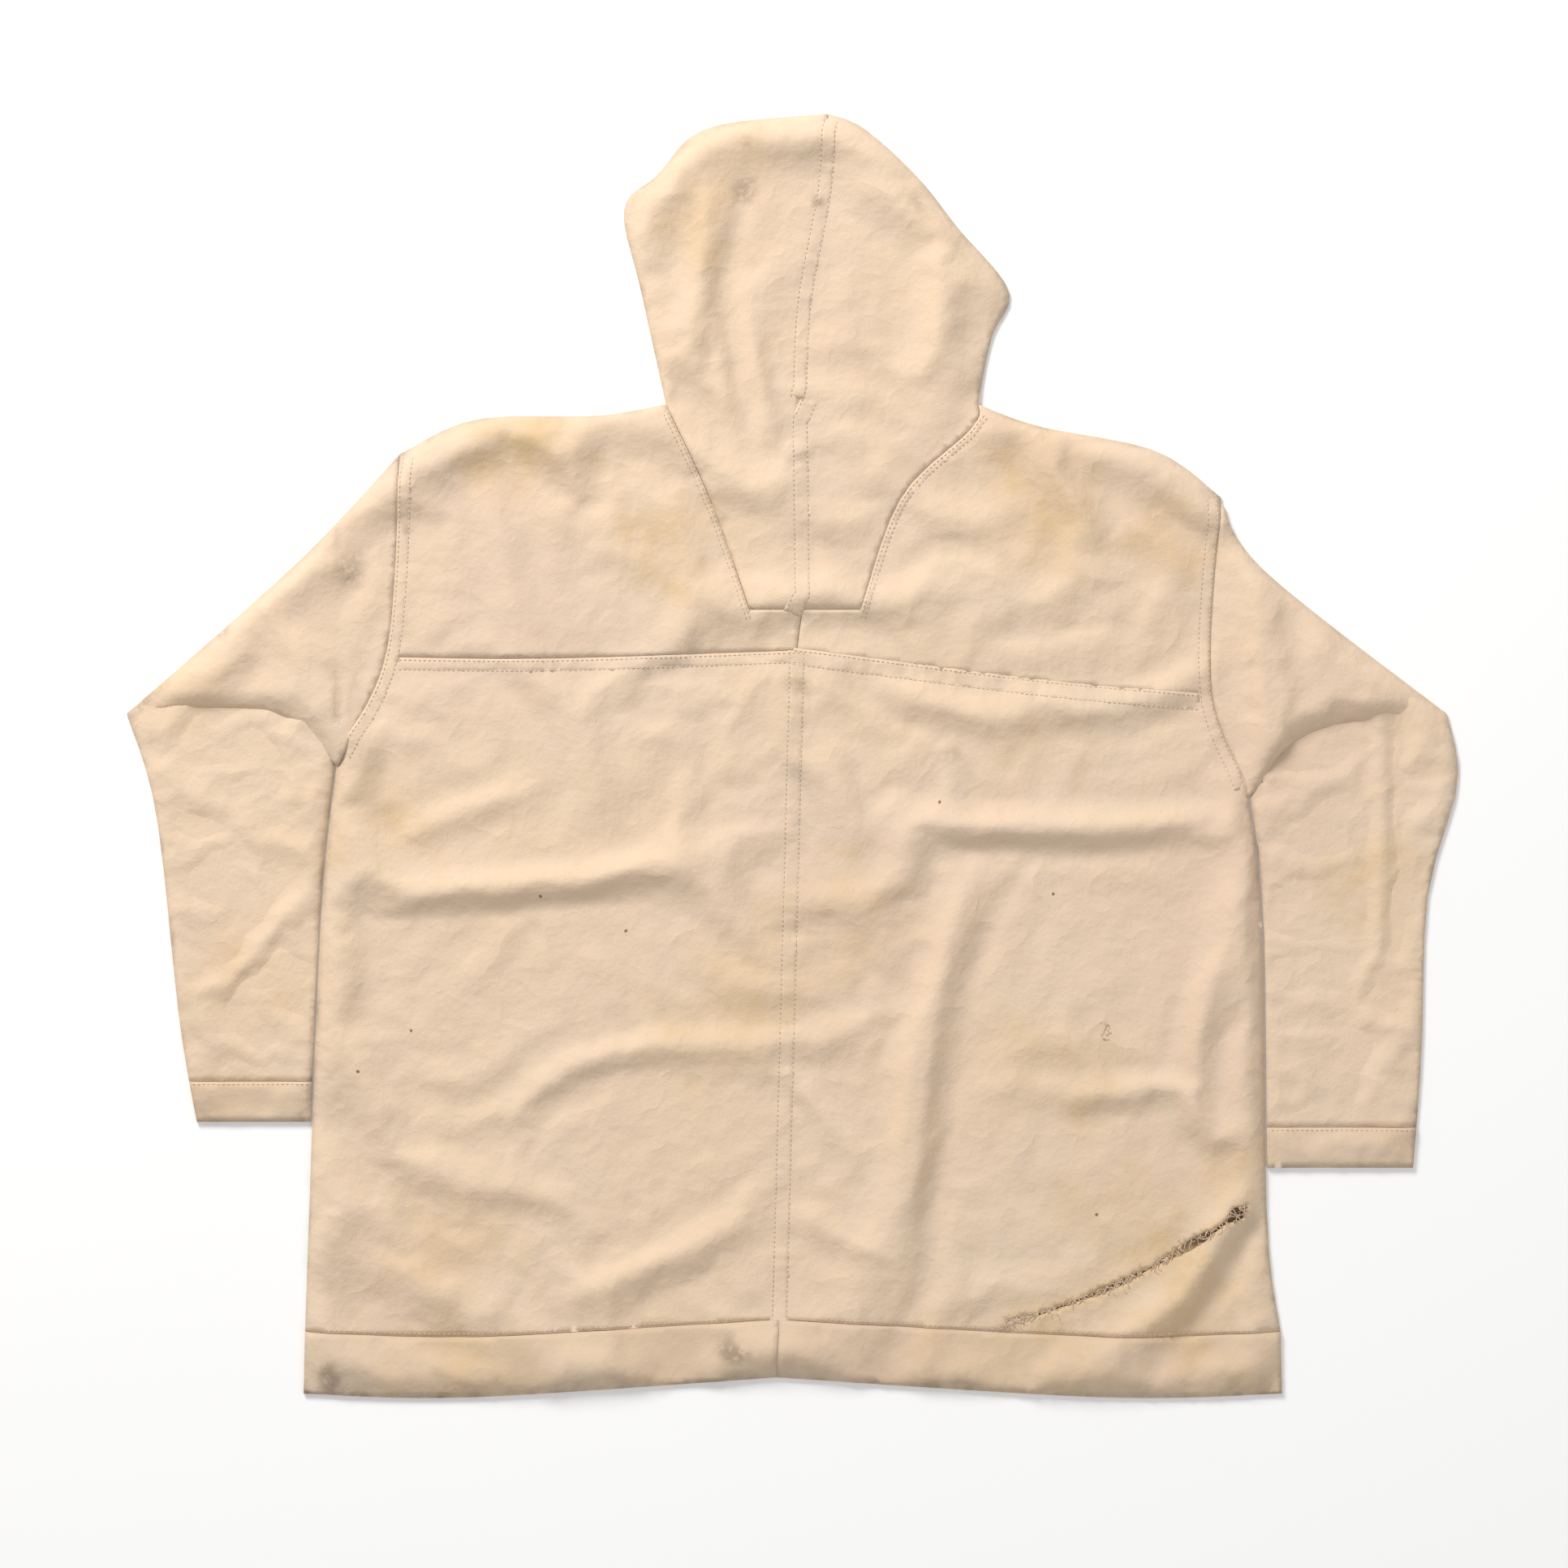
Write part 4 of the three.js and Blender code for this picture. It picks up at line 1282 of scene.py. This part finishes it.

# %% [markdown]
# Old cotton yellows in clouds, greys where it was handled, and darkens along its edges and
# seams. One group mixes those colours from the masks, so that every canvas material ages in the
# same way. The group also greys the hollows of the creases a little, which is painted shade.

# %% Shader group: aged cotton and painted crease shade
ageing_and_shade, given, wanted = shader_group(
    "aged_cotton",
    [("Place", "NodeSocketVector", None), ("Clean", "NodeSocketColor", (0.8, 0.62, 0.45, 1)),
     ("Yellowed", "NodeSocketColor", (0.72, 0.5, 0.26, 1)),
     # The grey colour serves for handled dirt, for seam dirt and for the painted shade in crease hollows.
     ("Greyed", "NodeSocketColor", (0.5, 0.45, 0.4, 1)),
     ("Soil", "NodeSocketColor", (0.16, 0.11, 0.075, 1)), ("Yellow mask", "NodeSocketFloat", 0.0),
     ("Dark mask", "NodeSocketFloat", 0.0), ("Grime mask", "NodeSocketFloat", 0.0),
     ("Seam mask", "NodeSocketFloat", 0.0), ("Hollow mask", "NodeSocketFloat", 0.0)],
    [("Colour", "NodeSocketColor")])
w = Wires(ageing_and_shade)
where = given["Place"]
cloudy = w.spread(w.noise(where, 7.0, 5.0, 0.6), 0.35, 0.72)
rosy = w.spread(w.noise(where, 4.3, 3.0), 0.45, 0.7)
speck = w.spread(w.noise(where, 130.0, 3.0, 0.7), 0.3, 0.8)
colour = w.mix(w.maths("MULTIPLY", cloudy, 0.5), given["Clean"], (0.83, 0.67, 0.52, 1))
colour = w.mix(w.maths("MULTIPLY", rosy, 0.4), colour, (0.78, 0.575, 0.45, 1))
ragged = w.spread(w.noise(where, 60.0, 5.0, 0.65), 0.2, 0.8, 0.45, 1.2)
yellow = w.maths("MULTIPLY", w.maths("MULTIPLY", given["Yellow mask"], ragged), 0.95, clamp=True)
colour = w.mix(yellow, colour, given["Yellowed"])
ashen = w.spread(w.noise(where, 11.0, 6.0, 0.62), 0.58, 0.8)
colour = w.mix(w.maths("MULTIPLY", ashen, 0.3), colour, given["Greyed"])
# Painted shade: the hollows of the creases are mixed a little towards the grey colour.
hollow = w.spread(given["Hollow mask"], 0.0, 0.9, 0.0, 0.1)
colour = w.mix(hollow, colour, given["Greyed"])
seam_dirt = w.maths("MULTIPLY", given["Seam mask"], w.spread(w.noise(where, 38.0, 5.0), 0.4, 0.75))
colour = w.mix(w.maths("MULTIPLY", seam_dirt, 0.22), colour, given["Greyed"])
grimy = w.maths("MULTIPLY", given["Grime mask"], w.spread(w.noise(where, 45.0, 6.0, 0.7), 0.32, 0.7))
colour = w.mix(w.maths("MULTIPLY", grimy, 0.85, clamp=True), colour, given["Soil"])
smear = w.maths("MULTIPLY", given["Dark mask"], w.spread(w.noise(where, 150.0, 5.0, 0.7), 0.3, 0.55))
colour = w.mix(w.maths("MULTIPLY", smear, 0.8, clamp=True), colour, given["Soil"])
colour = w.mix(w.maths("MULTIPLY", speck, 0.12), colour, given["Yellowed"])
w.feed(wanted["Colour"], colour)
print("group", ageing_and_shade.name)

# %% [markdown]
# A few rust dots, the size of a match head, are the only sharp marks. They are too small for
# the mesh, so the shader draws each one as a ragged disc about its place.

# %% Shader group: one rust dot
rust, given, wanted = shader_group(
    "rust_dot",
    [("Place", "NodeSocketVector", None), ("Centre", "NodeSocketVector", None),
     ("Radius", "NodeSocketFloat", 1.3 * MM)],
    [("Mask", "NodeSocketFloat")])
w = Wires(rust)
offset = rust.nodes.new("ShaderNodeVectorMath")
offset.operation = "SUBTRACT"
w.feed(offset.inputs[0], given["Place"])
w.feed(offset.inputs[1], given["Centre"])
flatten = rust.nodes.new("ShaderNodeVectorMath")
flatten.operation = "MULTIPLY"
w.feed(flatten.inputs[0], offset.outputs[0])
flatten.inputs[1].default_value = (1, 1, 0)
far = rust.nodes.new("ShaderNodeVectorMath")
far.operation = "LENGTH"
w.feed(far.inputs[0], flatten.outputs[0])
ragged = w.spread(w.noise(given["Place"], 420.0, 3.0), 0.2, 0.8, 0.7, 1.3)
gap = w.maths("DIVIDE", w.maths("MULTIPLY", far.outputs["Value"], ragged), given["Radius"])
w.feed(wanted["Mask"], w.spread(gap, 1.25, 0.6))
print("group", rust.name)

# %% [markdown]
# All the canvas is one bolt of cloth. Hems, cuffs and felled seams are doubled, and hems and
# cuffs have been rubbed, so they get their own values: a touch darker, rougher, with more grime.

# %% Canvas and thread materials
CANVAS_TINT = (0.85, 0.645, 0.46, 1)
BAND_TINT = (0.74, 0.55, 0.38, 1)
# The inner tint is darker than the top canvas: painted shade for the cloth lying under the top layer, seen
# at the rims and through the tear.
UNDER_SHADE_TINT = (0.74, 0.53, 0.29, 1)
THREAD_TINT = (0.80, 0.64, 0.48, 1)
WEAVE_DEPTH = 0.16 * MM
CRUSH_DEPTH = 8 * MM


def canvas(name, tint, rough=0.88, crush=1.0, dots=()):
    finish = bpy.data.materials.new(name)
    finish.use_nodes = True
    tree = finish.node_tree
    w = Wires(tree)
    shader = tree.nodes["Principled BSDF"]
    place = tree.nodes.new("ShaderNodeTexCoord").outputs["Object"]
    cloth_look = w.place(weave, Place=place, Pitch=THREAD_PITCH, Slub=0.5)
    aged_and_shaded = w.place(
        ageing_and_shade, Place=place, Clean=tint, Yellow_mask=w.mask("yellow"), Dark_mask=w.mask("dark"),
        Grime_mask=w.mask("grime"), Seam_mask=w.mask("seam"), Hollow_mask=w.mask("hollow"))
    colour = w.mix(w.maths("MULTIPLY", cloth_look["Tone"], 0.1), aged_and_shaded["Colour"], (0.9, 0.78, 0.62, 1))
    for x, y in dots:
        spot = w.place(rust, Place=place, Centre=(float(x), float(y), 0.0))["Mask"]
        colour = w.mix(w.maths("MULTIPLY", spot, 0.85), colour, (0.25, 0.085, 0.03, 1))
    w.feed(shader.inputs["Base Color"], colour)
    w.feed(shader.inputs["Roughness"], w.spread(cloth_look["Tone"], 0.0, 1.0, rough + 0.05, rough - 0.05))
    shader.inputs["Specular IOR Level"].default_value = 0.25
    shader.inputs["Sheen Weight"].default_value = 0.12
    shader.inputs["Sheen Roughness"].default_value = 0.5
    ridge = w.maths("ABSOLUTE", w.maths("SUBTRACT", w.noise(place, 26.0, 5.0, 0.5), 0.5))
    crumpled = w.maths("SUBTRACT", 1.0, ridge)
    small = tree.nodes.new("ShaderNodeBump")
    small.inputs["Distance"].default_value = CRUSH_DEPTH * crush
    small.inputs["Strength"].default_value = 0.55
    w.feed(small.inputs["Height"], crumpled)
    fine = tree.nodes.new("ShaderNodeBump")
    fine.inputs["Distance"].default_value = WEAVE_DEPTH
    fine.inputs["Strength"].default_value = 0.8
    w.feed(fine.inputs["Height"], cloth_look["Height"])
    w.feed(fine.inputs["Normal"], small.outputs["Normal"])
    w.feed(shader.inputs["Normal"], fine.outputs["Normal"])
    return finish


canvas_main = canvas("washed_canvas", CANVAS_TINT, dots=RUST_DOTS)
canvas_band = canvas("doubled_canvas", BAND_TINT, rough=0.9, crush=0.8)
# Painted shade: the cloth under the top layer gets this darker copy of the canvas.
canvas_under_shaded = canvas("inner_canvas", UNDER_SHADE_TINT, rough=0.92)

thread_finish = bpy.data.materials.new("cotton_thread")
thread_finish.use_nodes = True
w = Wires(thread_finish.node_tree)
thread_shader = thread_finish.node_tree.nodes["Principled BSDF"]
place = thread_finish.node_tree.nodes.new("ShaderNodeTexCoord").outputs["Object"]
twist = w.noise(place, 900.0, 3.0)
uneven = w.spread(w.noise(place, 14.0, 4.0), 0.3, 0.75)
thread_tone = w.mix(w.maths("MULTIPLY", uneven, 0.6), THREAD_TINT, (0.62, 0.45, 0.29, 1))
w.feed(thread_shader.inputs["Base Color"], thread_tone)
w.feed(thread_shader.inputs["Roughness"], w.spread(twist, 0.2, 0.8, 0.65, 0.9))
twist_bump = thread_finish.node_tree.nodes.new("ShaderNodeBump")
twist_bump.inputs["Distance"].default_value = 0.1 * MM
w.feed(twist_bump.inputs["Height"], twist)
w.feed(thread_shader.inputs["Normal"], twist_bump.outputs["Normal"])

for piece in every_canvas:
    band = any(word in piece.name for word in ("hem", "cuff"))
    inner = piece.name.startswith(("front", "hem_front", "hood_under", "face_hem"))
    finish = canvas_under_shaded if inner else canvas_band if band else canvas_main
    piece.data.materials.append(finish)
for name, (piece, layers, rests_on) in cloth.items():
    as_cloth(piece, layers)
for piece in [*sewn.values(), threads]:
    piece.data.materials.append(thread_finish)
print("materials", len(bpy.data.materials))

# %% [markdown]
# Nothing here can say whether a flat size is right, because it was worked out from the drawn
# piece.

# %% Sizes and finish
low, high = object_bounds()
cad_rise = cad_high.z - cad_low.z
print("drawn height", round((high.z - low.z) / MM, 1), "mm, CAD", round(cad_rise / MM, 1), "mm")
